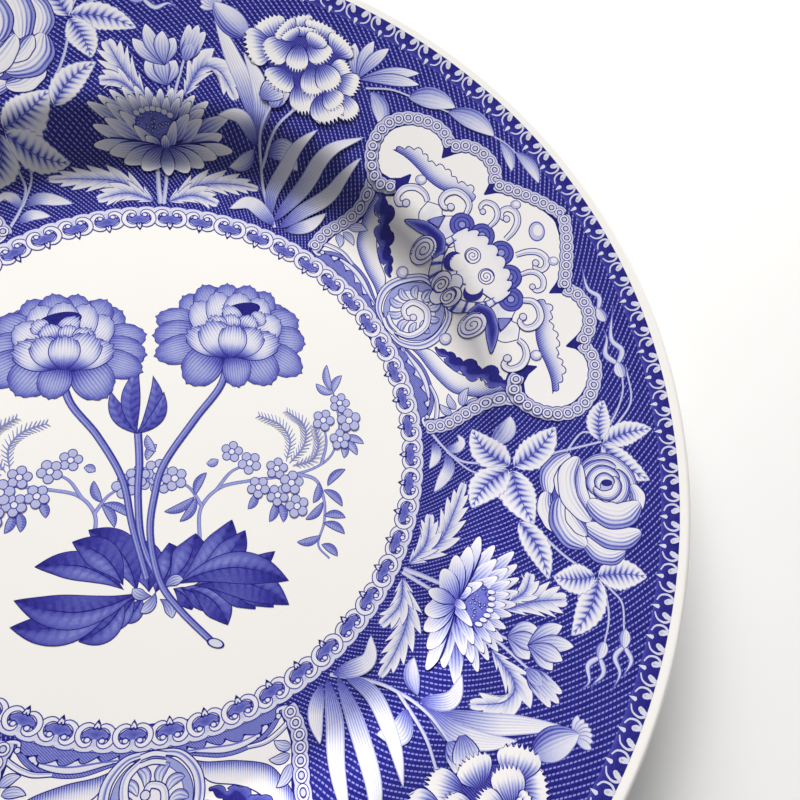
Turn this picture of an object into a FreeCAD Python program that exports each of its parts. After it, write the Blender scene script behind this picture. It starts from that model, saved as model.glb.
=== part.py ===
import FreeCAD, Part
import os
import re
import Sketcher

# A transfer-printed china dinner plate. It stands on its foot ring, centred on the Z axis, with the
# bouquet upright along +Y. The fired body carries thin films: the printed sheets lie on its face,
# and the glaze covers them, the lip and the back down to the bare foot. Every piece is a revolved
# section, and every section is drawn from the same stations, each a given distance off the body.

SIZES = {
    "overall_radius": 133.35,      # out to the glazed lip
    "wall": 3.4,                   # rim and verge of the body
    "floor_wall": 3.1,             # floor of the body
    "well_radius": 76.0,           # flat floor, out to the start of the verge
    "cove_radius": 10.6,           # hollow bend from the floor up into the verge
    "shoulder_radius": 10.4,       # round bend from the verge out onto the rim
    "verge_angle": 58.5,           # steepest slope of the verge
    "rim_angle": 9.6,              # slope of the rim
    "foot_height": 2.2,            # recess under the floor
    "foot_inset": 0.6,             # from the edge of the well in to the foot
    "foot_face_width": 3.4,        # bare ring that the plate stands on
    "foot_inner_lean": 1.6,        # how far the foot's inner wall leans in on its way up
    "foot_outer_lean": 1.8,        # how far the foot's outer wall leans out on its way up
    "foot_bevel": 0.4,
    "bare_height": 0.9,            # unglazed height of the foot
    "glaze": 0.3,
    "colour": 0.1,                 # printed sheet under the glaze
    "scroll_margin": 9.8,          # from the edge of the well in to the sheet of its scroll border
    "scroll_width": 7.2,
    "bouquet_margin": 1.5,         # from the scroll border in to the sheet with the bouquet
    "lip_margin": 3.95,            # from the lip in to the sheet with its band of small scrolls
    "edge_width": 5.0,
    "panel_spread": 54.0,          # angle of one panel sheet
    "panel_bearing": 32.0,         # centre line of the first panel, from +X
}
DERIVED = {
    "floor_z": "foot_height + floor_wall",
    "cove_z": "floor_z + cove_radius",
    "bends": "cove_radius + shoulder_radius",
    "shoulder_r": "well_radius + bends * sin(verge_angle)",
    "shoulder_z": "cove_z - bends * cos(verge_angle)",
    "half_wall": "wall / 2",
    "lip_r": "overall_radius - glaze - half_wall",
    "rim_rise": "(lip_r - shoulder_r) * tan(rim_angle)",
    "lip_z": "shoulder_z + (shoulder_radius - half_wall) / cos(rim_angle) + rim_rise",
    "foot_inner_radius": "well_radius - foot_inset",
    "foot_outer_radius": "foot_inner_radius + foot_face_width",
    "root_r": "foot_outer_radius + foot_outer_lean",
    "root_z": "cove_z - sqrt((cove_radius + wall) ^ 2 - (root_r - well_radius) ^ 2)",
    "scroll_outer_radius": "well_radius - scroll_margin",
    "scroll_inner_radius": "scroll_outer_radius - scroll_width",
    "bouquet_radius": "scroll_inner_radius - bouquet_margin",
    "edge_outer_radius": "overall_radius - lip_margin",
    "edge_inner_radius": "edge_outer_radius - edge_width",
}
REPEATS = 3                        # panels, and the sprays between them, round the rim
TURN = 360.0
OUT = "parts"

ORIGIN = (-1, 1)                   # a sketch's own origin and axes, as its constraints name them
ACROSS = -1
UPRIGHT = -2

doc = FreeCAD.newDocument("dinner_plate")
sheet = doc.addObject("Spreadsheet::Sheet", "Sizes")
for row, (alias, value) in enumerate(SIZES.items(), start=1):
    sheet.set(f"A{row}", alias)
    sheet.set(f"B{row}", str(value))
    sheet.setAlias(f"B{row}", alias)
for row, (alias, formula) in enumerate(DERIVED.items(), start=len(SIZES) + 2):
    sheet.set(f"A{row}", alias)
    sheet.set(f"B{row}", f"={formula}")
    sheet.setAlias(f"B{row}", alias)
doc.recompute()


def tied(formula):
    """The formula with every named size pointing into the sheet."""
    known = SIZES.keys() | DERIVED.keys()
    return re.sub("[a-z_]+", lambda word: f"Sizes.{word[0]}" if word[0] in known else word[0], formula)


def number(formula):
    """What the formula comes to now."""
    return float(sheet.evalExpression(tied(formula)))


# Points of the section, as formulas for their distance from the axis and their height.

def on_floor(radius, off):
    return radius, f"floor_z + {off}"


def on_rim(radius, off):
    rise = f"({radius} - shoulder_r) * tan(rim_angle)"
    return radius, f"shoulder_z + (shoulder_radius + {off}) / cos(rim_angle) + {rise}"


def on_foot_wall(height, off):
    """A point of the foot's outer wall, which leans out from the standing face to the root."""
    return f"foot_outer_radius + foot_outer_lean * {height} / root_z + {off}", height


def in_recess(height):
    """A point of the foot's inner wall, which leans in from the standing face to the recess."""
    return f"foot_inner_radius - foot_inner_lean * {height} / foot_height", height


def on_bend(centre, radius, slope):
    """A point of a bend where the section has this slope. A negative radius is the bend's underside."""
    return f"{centre[0]} - ({radius}) * sin({slope})", f"{centre[1]} + ({radius}) * cos({slope})"


COVE = ("well_radius", "cove_z")
SHOULDER = ("shoulder_r", "shoulder_z")
LIP = ("lip_r", "lip_z")


# A path is a list of steps. Each is the point it goes to, then the centre, the radius and the turn
# of the arc that takes it there, or nothing more for a straight step. A turn of 1 is anticlockwise.

def over_the_face(off, start, end):
    """From the floor up the verge and out over the rim."""
    join = on_bend(COVE, f"{off} - cove_radius", "verge_angle")
    rim_start = on_bend(SHOULDER, f"shoulder_radius + {off}", "rim_angle")
    return [
        (start,),
        (on_floor("well_radius", off),),
        (join, COVE, f"cove_radius - {off}", 1),
        (rim_start, SHOULDER, f"shoulder_radius + {off}", -1),
        (end,),
    ]


def round_the_lip(off):
    """From the end of the rim's face, round the lip and along the back to the root of the foot."""
    under_lip = on_bend(LIP, f"0 - half_wall - {off}", "rim_angle")
    under_rim = on_bend(SHOULDER, f"shoulder_radius - wall - {off}", "rim_angle")
    join = on_bend(COVE, f"0 - cove_radius - wall - {off}", "verge_angle")
    root = (f"root_r + {off}", "root_z")
    return [
        (on_bend(LIP, f"half_wall + {off}", "rim_angle"),),
        (under_lip, LIP, f"half_wall + {off}", -1),
        (under_rim,),
        (join, SHOULDER, f"shoulder_radius - wall - {off}", 1),
        (root, COVE, f"cove_radius + wall + {off}", -1),
    ]


def backwards(path):
    """The same path walked from its other end."""
    turned = [(path[-1][0],)]
    for step, before in zip(reversed(path[1:]), reversed(path[:-1])):
        arc = step[1:] and (*step[1:3], -step[3])
        turned.append((before[0], *arc))
    return turned


def draw_edge(sketch, start, step):
    """Draws one step. Returns the edge, then which of its ends the step leaves and reaches."""
    begin = FreeCAD.Vector(number(start[0]), number(start[1]), 0)
    end = FreeCAD.Vector(number(step[0][0]), number(step[0][1]), 0)
    if len(step) == 1:
        return sketch.addGeometry(Part.LineSegment(begin, end), False), 1, 2
    _, middle, radius, turn = step
    centre = FreeCAD.Vector(number(middle[0]), number(middle[1]), 0)
    ring = Part.Circle(centre, FreeCAD.Vector(0, 0, 1), number(radius))
    first, last = (begin, end) if turn > 0 else (end, begin)
    arc = Part.ArcOfCircle(ring, ring.parameter(first), ring.parameter(last))
    ends = (1, 2) if turn > 0 else (2, 1)
    return sketch.addGeometry(arc, False), *ends


def hold(sketch, kind, places, formula):
    """A dimension that follows its formula."""
    at = sketch.addConstraint(Sketcher.Constraint(kind, *places, number(formula)))
    sketch.setExpression(f"Constraints[{at}]", tied(formula))


def draw_section(sketch, path):
    """Closes a path into one outline and ties every corner and every arc to its formulas."""
    corners = [step[0] for step in path]
    steps = path[1:] + [(corners[0],)]
    edges = [draw_edge(sketch, corner, step) for corner, step in zip(corners, steps)]
    for index, (corner, step) in enumerate(zip(corners, steps)):
        edge, leaves, _ = edges[index]
        before, _, reaches = edges[index - 1]
        after_arc = len(steps[index - 1]) > 1
        sketch.addConstraint(Sketcher.Constraint("Coincident", before, reaches, edge, leaves))
        if corner[0] == "0":
            sketch.addConstraint(Sketcher.Constraint("PointOnObject", edge, leaves, UPRIGHT))
        else:
            hold(sketch, "DistanceX", (*ORIGIN, edge, leaves), corner[0])
        if corner[1] == "0":
            sketch.addConstraint(Sketcher.Constraint("PointOnObject", edge, leaves, ACROSS))
        elif len(step) == 1 and not after_arc:
            hold(sketch, "DistanceY", (*ORIGIN, edge, leaves), corner[1])
        if len(step) > 1:
            _, centre, radius, _ = step
            hold(sketch, "DistanceX", (*ORIGIN, edge, 3), centre[0])
            hold(sketch, "DistanceY", (*ORIGIN, edge, 3), centre[1])
            if not after_arc:
                hold(sketch, "Radius", (edge,), radius)


def revolve(name, label, path, spread=None, bearing=None):
    """A body turned about Z from one section, all the way round or through an angle about a bearing."""
    body = doc.addObject("PartDesign::Body", name)
    body.Label = label
    plane = next(face for face in body.Origin.OriginFeatures if face.Role == "XZ_Plane")
    section = body.newObject("Sketcher::SketchObject", f"{name}_section")
    section.AttachmentSupport = [(plane, "")]
    section.MapMode = "FlatFace"
    draw_section(section, path)
    turned = body.newObject("PartDesign::Revolution", f"{name}_turned")
    turned.Profile = section
    turned.ReferenceAxis = (section, ["V_Axis"])
    turned.Angle = TURN
    if spread:
        turned.setExpression("Angle", tied(spread))
        body.Placement.Rotation = FreeCAD.Rotation(FreeCAD.Vector(0, 0, 1), 1)
        body.setExpression("Placement.Rotation.Angle", f"({tied(bearing)}) * 1 deg")
    section.Visibility = False
    return body


def film(under, over, inner, outer, place):
    """Section of a flat ring of film between two radii, from its underside to its top."""
    return [(place(inner, under),), (place(outer, under),), (place(outer, over),), (place(inner, over),)]


bare_face = over_the_face("0", on_floor("0", "0"), on_bend(LIP, "half_wall", "rim_angle"))
foot = [
    (on_foot_wall("foot_bevel", "0"),),
    (("foot_outer_radius - foot_bevel", "0"),),
    (("foot_inner_radius + foot_bevel", "0"),),
    (in_recess("foot_bevel"),),
    (in_recess("foot_height"),),
    (("0", "foot_height"),),
]
revolve("plate_body", "Plate body", bare_face + round_the_lip("0")[1:] + foot)

# The glaze's underside steps up over the printed sheets.
print_start = on_floor("scroll_inner_radius", "colour")
glaze_under = [
    (on_floor("0", "colour"),),
    (on_floor("bouquet_radius", "colour"),),
    (on_floor("bouquet_radius", "0"),),
    (on_floor("scroll_inner_radius", "0"),),
    *over_the_face("colour", print_start, on_rim("edge_outer_radius", "colour")),
    (on_rim("edge_outer_radius", "0"),),
    *round_the_lip("0"),
    (on_foot_wall("bare_height", "0"),),
]
glaze_top = over_the_face("glaze", on_floor("0", "glaze"), on_bend(LIP, "half_wall + glaze", "rim_angle"))
glaze_top += round_the_lip("glaze")[1:] + [(on_foot_wall("bare_height", "glaze"),)]
revolve("glaze_coat", "Glaze over the face, lip and back", glaze_under + backwards(glaze_top))

recess_edge = "foot_height - glaze"
recess_glaze = [(("0", "foot_height"),), (in_recess("foot_height"),), (in_recess(f"({recess_edge})"),)]
recess_glaze.append((("0", recess_edge),))
revolve("foot_recess_glaze", "Glaze inside the foot ring", recess_glaze)

bouquet = film("0", "colour", "0", "bouquet_radius", on_floor)
revolve("centre_bouquet_print", "Printed bouquet", bouquet)
scrolls = film("0", "colour", "scroll_inner_radius", "scroll_outer_radius", on_floor)
revolve("well_scroll_border_print", "Printed scroll border of the well", scrolls)
edge_band = film("0", "colour", "edge_inner_radius", "edge_outer_radius", on_rim)
revolve("edge_border_print", "Printed band at the lip", edge_band)

rim_under, rim_over = (
    over_the_face(off, on_floor("scroll_outer_radius", off), on_rim("edge_inner_radius", off))
    for off in ("0", "colour")
)
rim_sheet = rim_under + backwards(rim_over)
share = TURN / REPEATS
for count in range(REPEATS):
    which = count + 1
    panel_start = f"panel_bearing + {count * share} - panel_spread / 2"
    panel_end = f"panel_bearing + {count * share} + panel_spread / 2"
    revolve(f"panel_print_{which}", f"Printed panel {which}", rim_sheet, "panel_spread", panel_start)
    between = f"{share} - panel_spread"
    revolve(f"spray_print_{which}", f"Printed rim spray {which}", rim_sheet, between, panel_end)

doc.recompute()
for item in doc.Objects:
    if "Invalid" in item.State or "Error" in item.State:
        raise RuntimeError(f"{item.Name} did not compute: {item.State}")
os.makedirs(OUT, exist_ok=True)
for body in doc.findObjects("PartDesign::Body"):
    if body.Shape.isNull() or not body.Shape.isValid():
        raise RuntimeError(f"{body.Name} has no valid shape")
    body.Shape.exportStep(f"{OUT}/{body.Name}.step")
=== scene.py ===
import math
import random

import bpy
import numpy as np
from mathutils import Matrix, Vector
from mathutils.geometry import delaunay_2d_cdt


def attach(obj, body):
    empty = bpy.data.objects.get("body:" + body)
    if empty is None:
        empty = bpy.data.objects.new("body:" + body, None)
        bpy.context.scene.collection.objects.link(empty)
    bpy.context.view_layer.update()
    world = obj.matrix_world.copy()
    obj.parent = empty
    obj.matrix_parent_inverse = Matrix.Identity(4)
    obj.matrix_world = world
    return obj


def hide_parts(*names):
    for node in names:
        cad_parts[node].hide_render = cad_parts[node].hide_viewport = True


# The plate's look: its fired body, its glaze, and the cobalt pattern printed under the glaze.
# The pattern is drawn flat, in millimetres, as a printer's engraver would draw it, and then each
# drawn shape is draped over the face. A place on the rim is given as its angle in degrees,
# anticlockwise from +X, and its distance from the plate's centre.

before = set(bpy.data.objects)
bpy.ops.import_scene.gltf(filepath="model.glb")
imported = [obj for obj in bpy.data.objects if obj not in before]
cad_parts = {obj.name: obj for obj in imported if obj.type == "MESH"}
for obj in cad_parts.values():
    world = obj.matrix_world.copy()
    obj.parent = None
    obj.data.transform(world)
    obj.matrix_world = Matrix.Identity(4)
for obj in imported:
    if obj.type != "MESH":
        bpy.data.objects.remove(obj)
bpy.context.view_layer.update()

MM = 0.001

# The turned section of the china, with the sizes that the body was made to.
OVERALL_R = 133.35
WALL = 3.4
WELL_R = 76.0
COVE_R = 10.6
SHOULDER_R = 10.4
VERGE = math.radians(58.5)
RIM = math.radians(9.6)
FOOT_HEIGHT = 2.2
FLOOR_Z = FOOT_HEIGHT + 3.1
FOOT_INNER_R = WELL_R - 0.6
FOOT_OUTER_R = FOOT_INNER_R + 3.4
FOOT_INNER_LEAN = 1.6
FOOT_OUTER_LEAN = 1.8
BARE_HEIGHT = 0.9
GLAZE = 0.3
COVE_Z = FLOOR_Z + COVE_R
SHOULDER_X = WELL_R + (COVE_R + SHOULDER_R) * math.sin(VERGE)
SHOULDER_Z = COVE_Z - (COVE_R + SHOULDER_R) * math.cos(VERGE)
LIP_X = OVERALL_R - GLAZE - WALL / 2
LIP_Z = SHOULDER_Z + (SHOULDER_R - WALL / 2) / math.cos(RIM) + (LIP_X - SHOULDER_X) * math.tan(RIM)

# The printed bands, by their distance from the centre.
SCROLL_OUT = 66.2
SCROLL_SHEET = 58.4, 66.4
EDGE_IN, EDGE_OUT = 124.4, 129.4
EDGE_SHEET = 123.9, 129.5
REPEATS = 3
SHARE = 360 / REPEATS
PANEL_BEARING = 32.0
PANEL_SPREAD = 54.0

LAYER = 0.0022           # how far each layer of colour lies above the one before
CURVED_LAYER = 0.0052    # the same where the face curves most
FIRST_LIFT = 0.03
CURVED = 74.0, 98.5      # the radii between which the face curves most
FINE = 0.5               # how far apart a print's points are there
PLATE_CELLS = 290        # millimetre squares across the plate, for stacking shapes


def face(reach, off=GLAZE):
    """Height and slope of the plate's face at these distances from its centre."""
    reach = np.asarray(reach, float)
    cove, shoulder = COVE_R - off, SHOULDER_R + off
    join = WELL_R + cove * math.sin(VERGE)
    rim_start = SHOULDER_X - shoulder * math.sin(RIM)
    along_cove = np.clip(reach - WELL_R, 0, cove * math.sin(VERGE))
    along_shoulder = np.clip(reach - SHOULDER_X, -shoulder * math.sin(VERGE), -shoulder * math.sin(RIM))
    cove_drop = np.sqrt(cove**2 - along_cove**2)
    shoulder_rise = np.sqrt(shoulder**2 - along_shoulder**2)
    on_rim = SHOULDER_Z + shoulder / math.cos(RIM) + (reach - SHOULDER_X) * math.tan(RIM)
    low = reach < join
    mid = reach < rim_start
    height = np.where(low, COVE_Z - cove_drop, np.where(mid, SHOULDER_Z + shoulder_rise, on_rim))
    slope = np.where(
        low, along_cove / cove_drop, np.where(mid, -along_shoulder / shoulder_rise, math.tan(RIM))
    )
    return height, slope


def drape(plan, lift):
    """Points and normals on the face over flat points, each lifted off it."""
    reach = np.hypot(*plan.T)
    height, slope = face(reach)
    outward = plan / np.maximum(reach, 1e-6)[:, None]
    normals = np.column_stack([-slope[:, None] * outward, np.ones(len(plan))])
    normals /= np.linalg.norm(normals, axis=1)[:, None]
    return np.column_stack([plan, height]) + normals * np.asarray(lift)[:, None], normals


# --- materials -----------------------------------------------------------------------------------


class Value:
    """A socket whose arithmetic adds Math nodes."""

    def __init__(self, tree, socket):
        self.tree = tree
        self.socket = socket

    def maths(self, operation, *others):
        sockets = dict(enumerate((self, *others)))
        return self.tree.node("ShaderNodeMath", {"operation": operation}, sockets)

    def __add__(self, other):
        return self.maths("ADD", other)

    __radd__ = __add__

    def __sub__(self, other):
        return self.maths("SUBTRACT", other)

    def __rsub__(self, other):
        return self.tree.number(other).maths("SUBTRACT", self)

    def __mul__(self, other):
        return self.maths("MULTIPLY", other)

    __rmul__ = __mul__

    def wave(self):
        """0 at each whole number and 1 halfway between."""
        return self.maths("PINGPONG", 0.5) * 2

    def between(self, low, high):
        """Climbs smoothly from 0 to 1 between two values."""
        found = self.tree.node(
            "ShaderNodeMapRange",
            {"interpolation_type": "SMOOTHSTEP"},
            {"Value": self, "From Min": low, "From Max": high},
        )
        return found

    def at_least(self, other):
        return self.maths("MAXIMUM", other)

    def at_most(self, other):
        return self.maths("MINIMUM", other)


class Finish:
    """A material being put together."""

    def __init__(self, name):
        self.material = bpy.data.materials.new(name)
        self.material.use_nodes = True
        self.nodes = self.material.node_tree.nodes
        self.links = self.material.node_tree.links
        self.shader = self.nodes["Principled BSDF"]

    def node(self, kind, settings=None, inputs=None, output=0):
        made = self.nodes.new(kind)
        for name, value in (settings or {}).items():
            if name == "stops":
                ramp = made.color_ramp
                while len(ramp.elements) < len(value):
                    ramp.elements.new(1.0)
                for element, (place, colour) in zip(ramp.elements, value):
                    element.position = place
                    element.color = (*colour, 1)
            else:
                setattr(made, name, value)
        for name, value in (inputs or {}).items():
            self.feed(made.inputs[name], value)
        return Value(self, made.outputs[output])

    def number(self, value):
        if isinstance(value, Value):
            return value
        made = self.nodes.new("ShaderNodeValue")
        made.outputs[0].default_value = value
        return Value(self, made.outputs[0])

    def feed(self, socket, value):
        if isinstance(value, Value):
            self.links.new(value.socket, socket)
        else:
            socket.default_value = value

    def painted(self, name):
        """The three numbers painted on each corner of a print under this name."""
        vector = self.node("ShaderNodeAttribute", {"attribute_name": name}, output="Vector")
        return [self.node("ShaderNodeSeparateXYZ", {}, {0: vector}, output=i) for i in range(3)]

    def noise(self, scale, detail=2.0):
        place = self.node("ShaderNodeTexCoord", output="Object")
        return self.node("ShaderNodeTexNoise", {}, {"Vector": place, "Scale": scale, "Detail": detail})

    def finish(self, **inputs):
        for name, value in inputs.items():
            self.feed(self.shader.inputs[name.replace("_", " ")], value)
        return self.material


# Cobalt under a clear glaze, from bare china to the fullest print.
INK = [
    (0.00, (0.860, 0.835, 0.830)),
    (0.14, (0.640, 0.640, 0.780)),
    (0.32, (0.330, 0.360, 0.660)),
    (0.52, (0.130, 0.140, 0.500)),
    (0.76, (0.042, 0.040, 0.320)),
    (1.00, (0.010, 0.008, 0.150)),
]


def glaze_ripple(finish, strength=0.05):
    """The faint unevenness of a fired glaze."""
    height = finish.noise(90.0, 1.0)
    return finish.node(
        "ShaderNodeBump", {}, {"Strength": strength, "Distance": 0.0004, "Height": height}, output="Normal"
    )


def printed_colour(finish, ink):
    """The colour of the print at this strength, softened a little where the colour bled in firing."""
    bleed = (finish.noise(1400.0) - 0.5) * 0.22
    pooled = (finish.noise(160.0) - 0.5) * 0.1
    strength = ink + bleed * (ink + 0.12) + pooled * ink
    return finish.node("ShaderNodeValToRGB", {"stops": INK}, {"Fac": strength}, output="Color")


def engraved_print():
    """Colour laid through engraved lines: tone, hatching and outline are painted on each shape."""
    finish = Finish("engraved_cobalt_print")
    tone, hatching, outline = finish.painted("tone")
    phase, edge, _ = finish.painted("stroke")
    lines = (1 - phase.wave()).between(0.25, 0.95) * hatching
    drawn = (0.34 - edge).between(0.0, 0.22) * outline
    ink = (tone + lines).at_least(drawn).at_most(1.0)
    return finish.finish(
        Base_Color=printed_colour(finish, ink), Roughness=0.09, IOR=1.5, Normal=glaze_ripple(finish)
    )


def twill_print():
    """The ground: a dark wash broken by short pale dashes in slanting rows."""
    finish = Finish("twill_cobalt_print")
    tone, row, dash = finish.painted("twill")
    in_row = row.wave().between(0.45, 0.95)
    in_dash = dash.wave().between(0.1, 0.55)
    ink = tone - in_row * (in_dash * 0.54 + 0.08)
    return finish.finish(
        Base_Color=printed_colour(finish, ink), Roughness=0.09, IOR=1.5, Normal=glaze_ripple(finish)
    )


def white_glaze():
    finish = Finish("white_glazed_china")
    warmth = finish.noise(14.0).between(0.3, 0.7)
    colour = finish.node(
        "ShaderNodeValToRGB",
        {"stops": [(0.0, (0.875, 0.862, 0.835)), (1.0, (0.895, 0.872, 0.848))]},
        {"Fac": warmth},
        output="Color",
    )
    return finish.finish(Base_Color=colour, Roughness=0.09, IOR=1.5, Normal=glaze_ripple(finish))


def bare_china():
    finish = Finish("bare_fired_china")
    grain = finish.noise(2600.0)
    colour = finish.node(
        "ShaderNodeValToRGB",
        {"stops": [(0.35, (0.62, 0.55, 0.45)), (0.6, (0.80, 0.76, 0.68))]},
        {"Fac": grain * 0.5 + finish.noise(240.0) * 0.5},
        output="Color",
    )
    rough = finish.node("ShaderNodeBump", {}, {"Strength": 0.4, "Distance": 0.0001, "Height": grain},
                        output="Normal")
    return finish.finish(Base_Color=colour, Roughness=0.75, Normal=rough)


def pale_floor():
    finish = Finish("pale_floor")
    grain = finish.noise(30.0)
    colour = finish.node(
        "ShaderNodeValToRGB",
        {"stops": [(0.0, (0.93, 0.93, 0.93)), (1.0, (0.95, 0.95, 0.95))]},
        {"Fac": grain},
        output="Color",
    )
    return finish.finish(Base_Color=colour, Roughness=0.6)


# --- the china -----------------------------------------------------------------------------------


def arc(centre, radius, start, end, pieces):
    """Points of a bend, by its angles from the horizontal."""
    angles = np.linspace(start, end, pieces + 1)
    return [(centre[0] + radius * math.cos(a), centre[1] + radius * math.sin(a)) for a in angles]


def face_path(off, inner, pieces=27):
    """The section of the face from inner out to the top of the lip, a given height off the body."""
    up = math.pi / 2
    path = [(r, FLOOR_Z + off) for r in np.linspace(inner, WELL_R, 24)[:-1]]
    path += arc((WELL_R, COVE_Z), COVE_R - off, -up, -up + VERGE, pieces)
    path += arc((SHOULDER_X, SHOULDER_Z), SHOULDER_R + off, up + VERGE, up + RIM, pieces)
    return path


def lip_and_back(off, pieces=14):
    """The section from the top of the lip, round it and along the back to the root of the foot."""
    up = math.pi / 2
    path = arc((LIP_X, LIP_Z), WALL / 2 + off, up + RIM, -up + RIM, 2 * pieces)
    path += arc((SHOULDER_X, SHOULDER_Z), SHOULDER_R - WALL - off, up + RIM, up + VERGE, pieces)
    root = FOOT_OUTER_R + FOOT_OUTER_LEAN + off
    back = COVE_R + WALL + off
    path += arc((WELL_R, COVE_Z), back, -up + VERGE, -math.acos((root - WELL_R) / back), pieces)
    return path


def turned(name, section, material, steps=330):
    """A piece turned about the plate's axis from a closed section."""
    section = np.array(section)
    on_axis = section[:, 0] < 1e-6
    points, rings = [], []
    for place, axial in zip(section, on_axis):
        start = len(points)
        angles = [0.0] if axial else np.arange(steps) * 2 * math.pi / steps
        points += [(place[0] * math.cos(a), place[0] * math.sin(a), place[1]) for a in angles]
        rings.append(np.full(steps, start) if axial else start + np.arange(steps))
    faces = []
    for here, there in zip(rings, rings[1:] + rings[:1]):
        for i in range(steps):
            corners = [here[i], there[i], there[(i + 1) % steps], here[(i + 1) % steps]]
            corners = list(dict.fromkeys(int(c) for c in corners))
            if len(corners) > 2:
                faces.append(corners)
    mesh = bpy.data.meshes.new(name)
    mesh.from_pydata((np.array(points) * MM).tolist(), [], faces)
    mesh.validate()
    mesh.shade_smooth()
    mesh.set_sharp_from_angle(angle=math.radians(50))
    piece = bpy.data.objects.new(name, mesh)
    piece.data.materials.append(material)
    bpy.context.collection.objects.link(piece)
    return piece


def foot_wall(height, off=0.0):
    root_z = COVE_Z - math.sqrt((COVE_R + WALL) ** 2 - (FOOT_OUTER_R + FOOT_OUTER_LEAN - WELL_R) ** 2)
    return FOOT_OUTER_R + FOOT_OUTER_LEAN * height / root_z + off, height


def make_china():
    """The glaze as a closed skin, the fired body under it, and the glaze inside the foot."""
    outside = face_path(GLAZE, 0.0) + lip_and_back(GLAZE)
    outside += [foot_wall(BARE_HEIGHT + 0.12, GLAZE), foot_wall(BARE_HEIGHT + 0.03, GLAZE * 0.7)]
    inside = face_path(0.0, 0.0) + lip_and_back(0.0) + [foot_wall(BARE_HEIGHT)]
    coat = turned("glazed_china", outside + inside[::-1], white_glaze())
    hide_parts("glaze_coat")

    bevel = 0.4
    up = math.pi / 2
    foot = [foot_wall(BARE_HEIGHT)]
    foot += arc((FOOT_OUTER_R - bevel, bevel), bevel, 0, -up, 6)
    foot += arc((FOOT_INNER_R + bevel, bevel), bevel, -up, -2 * up, 6)
    foot += [(FOOT_INNER_R - FOOT_INNER_LEAN, FOOT_HEIGHT), (0.0, FOOT_HEIGHT)]
    body = turned("fired_body", face_path(0.0, 0.0) + lip_and_back(0.0) + foot, bare_china())
    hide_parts("plate_body")

    edge = FOOT_INNER_R - FOOT_INNER_LEAN
    recess = [(0.0, FOOT_HEIGHT), (edge, FOOT_HEIGHT), (edge + 0.2, FOOT_HEIGHT - GLAZE)]
    recess += [(edge - 0.8, FOOT_HEIGHT - GLAZE * 0.9), (edge - 2.0, FOOT_HEIGHT - GLAZE),
               (0.0, FOOT_HEIGHT - GLAZE)]
    under = turned("recess_glaze", recess, white_glaze())
    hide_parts("foot_recess_glaze")
    return [coat, body, under]


# --- drawing -------------------------------------------------------------------------------------


def rim_place(angle, reach):
    """A flat point from its angle and its distance from the centre."""
    turn = math.radians(angle)
    return np.array([reach * math.cos(turn), reach * math.sin(turn)])


class Spot:
    """A drawing's own upright frame: +y points outward at a place on the plate, +x clockwise."""

    def __init__(self, angle, reach):
        self.origin = rim_place(angle, reach)
        turn = math.radians(angle - 90)
        self.across = np.array([math.cos(turn), math.sin(turn)])
        self.up = np.array([-math.sin(turn), math.cos(turn)])

    def __call__(self, points):
        points = np.atleast_2d(points)
        return self.origin + points[:, :1] * self.across + points[:, 1:] * self.up


def smooth(points, count):
    """Evenly spaced points on a smooth curve through these points."""
    points = np.asarray(points, float)
    if len(points) == 2:
        return points[0] + np.linspace(0, 1, count)[:, None] * (points[1] - points[0])
    ends = np.vstack([2 * points[0] - points[1], points, 2 * points[-1] - points[-2]])
    fine = []
    for a, b, c, d in zip(ends, ends[1:], ends[2:], ends[3:]):
        t = np.linspace(0, 1, 16, endpoint=False)[:, None]
        fine.append(
            b + t / 2 * (c - a) + t**2 * (a - 2.5 * b + 2 * c - d / 2) + t**3 * (1.5 * (b - c) + (d - a) / 2)
        )
    fine = np.vstack([*fine, points[-1:]])
    walked = np.concatenate([[0], np.cumsum(np.linalg.norm(np.diff(fine, axis=0), axis=1))])
    even = np.linspace(0, walked[-1], count)
    return np.column_stack([np.interp(even, walked, fine[:, i]) for i in (0, 1)])


def length_of(points):
    return float(np.linalg.norm(np.diff(np.asarray(points), axis=0), axis=1).sum())


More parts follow.
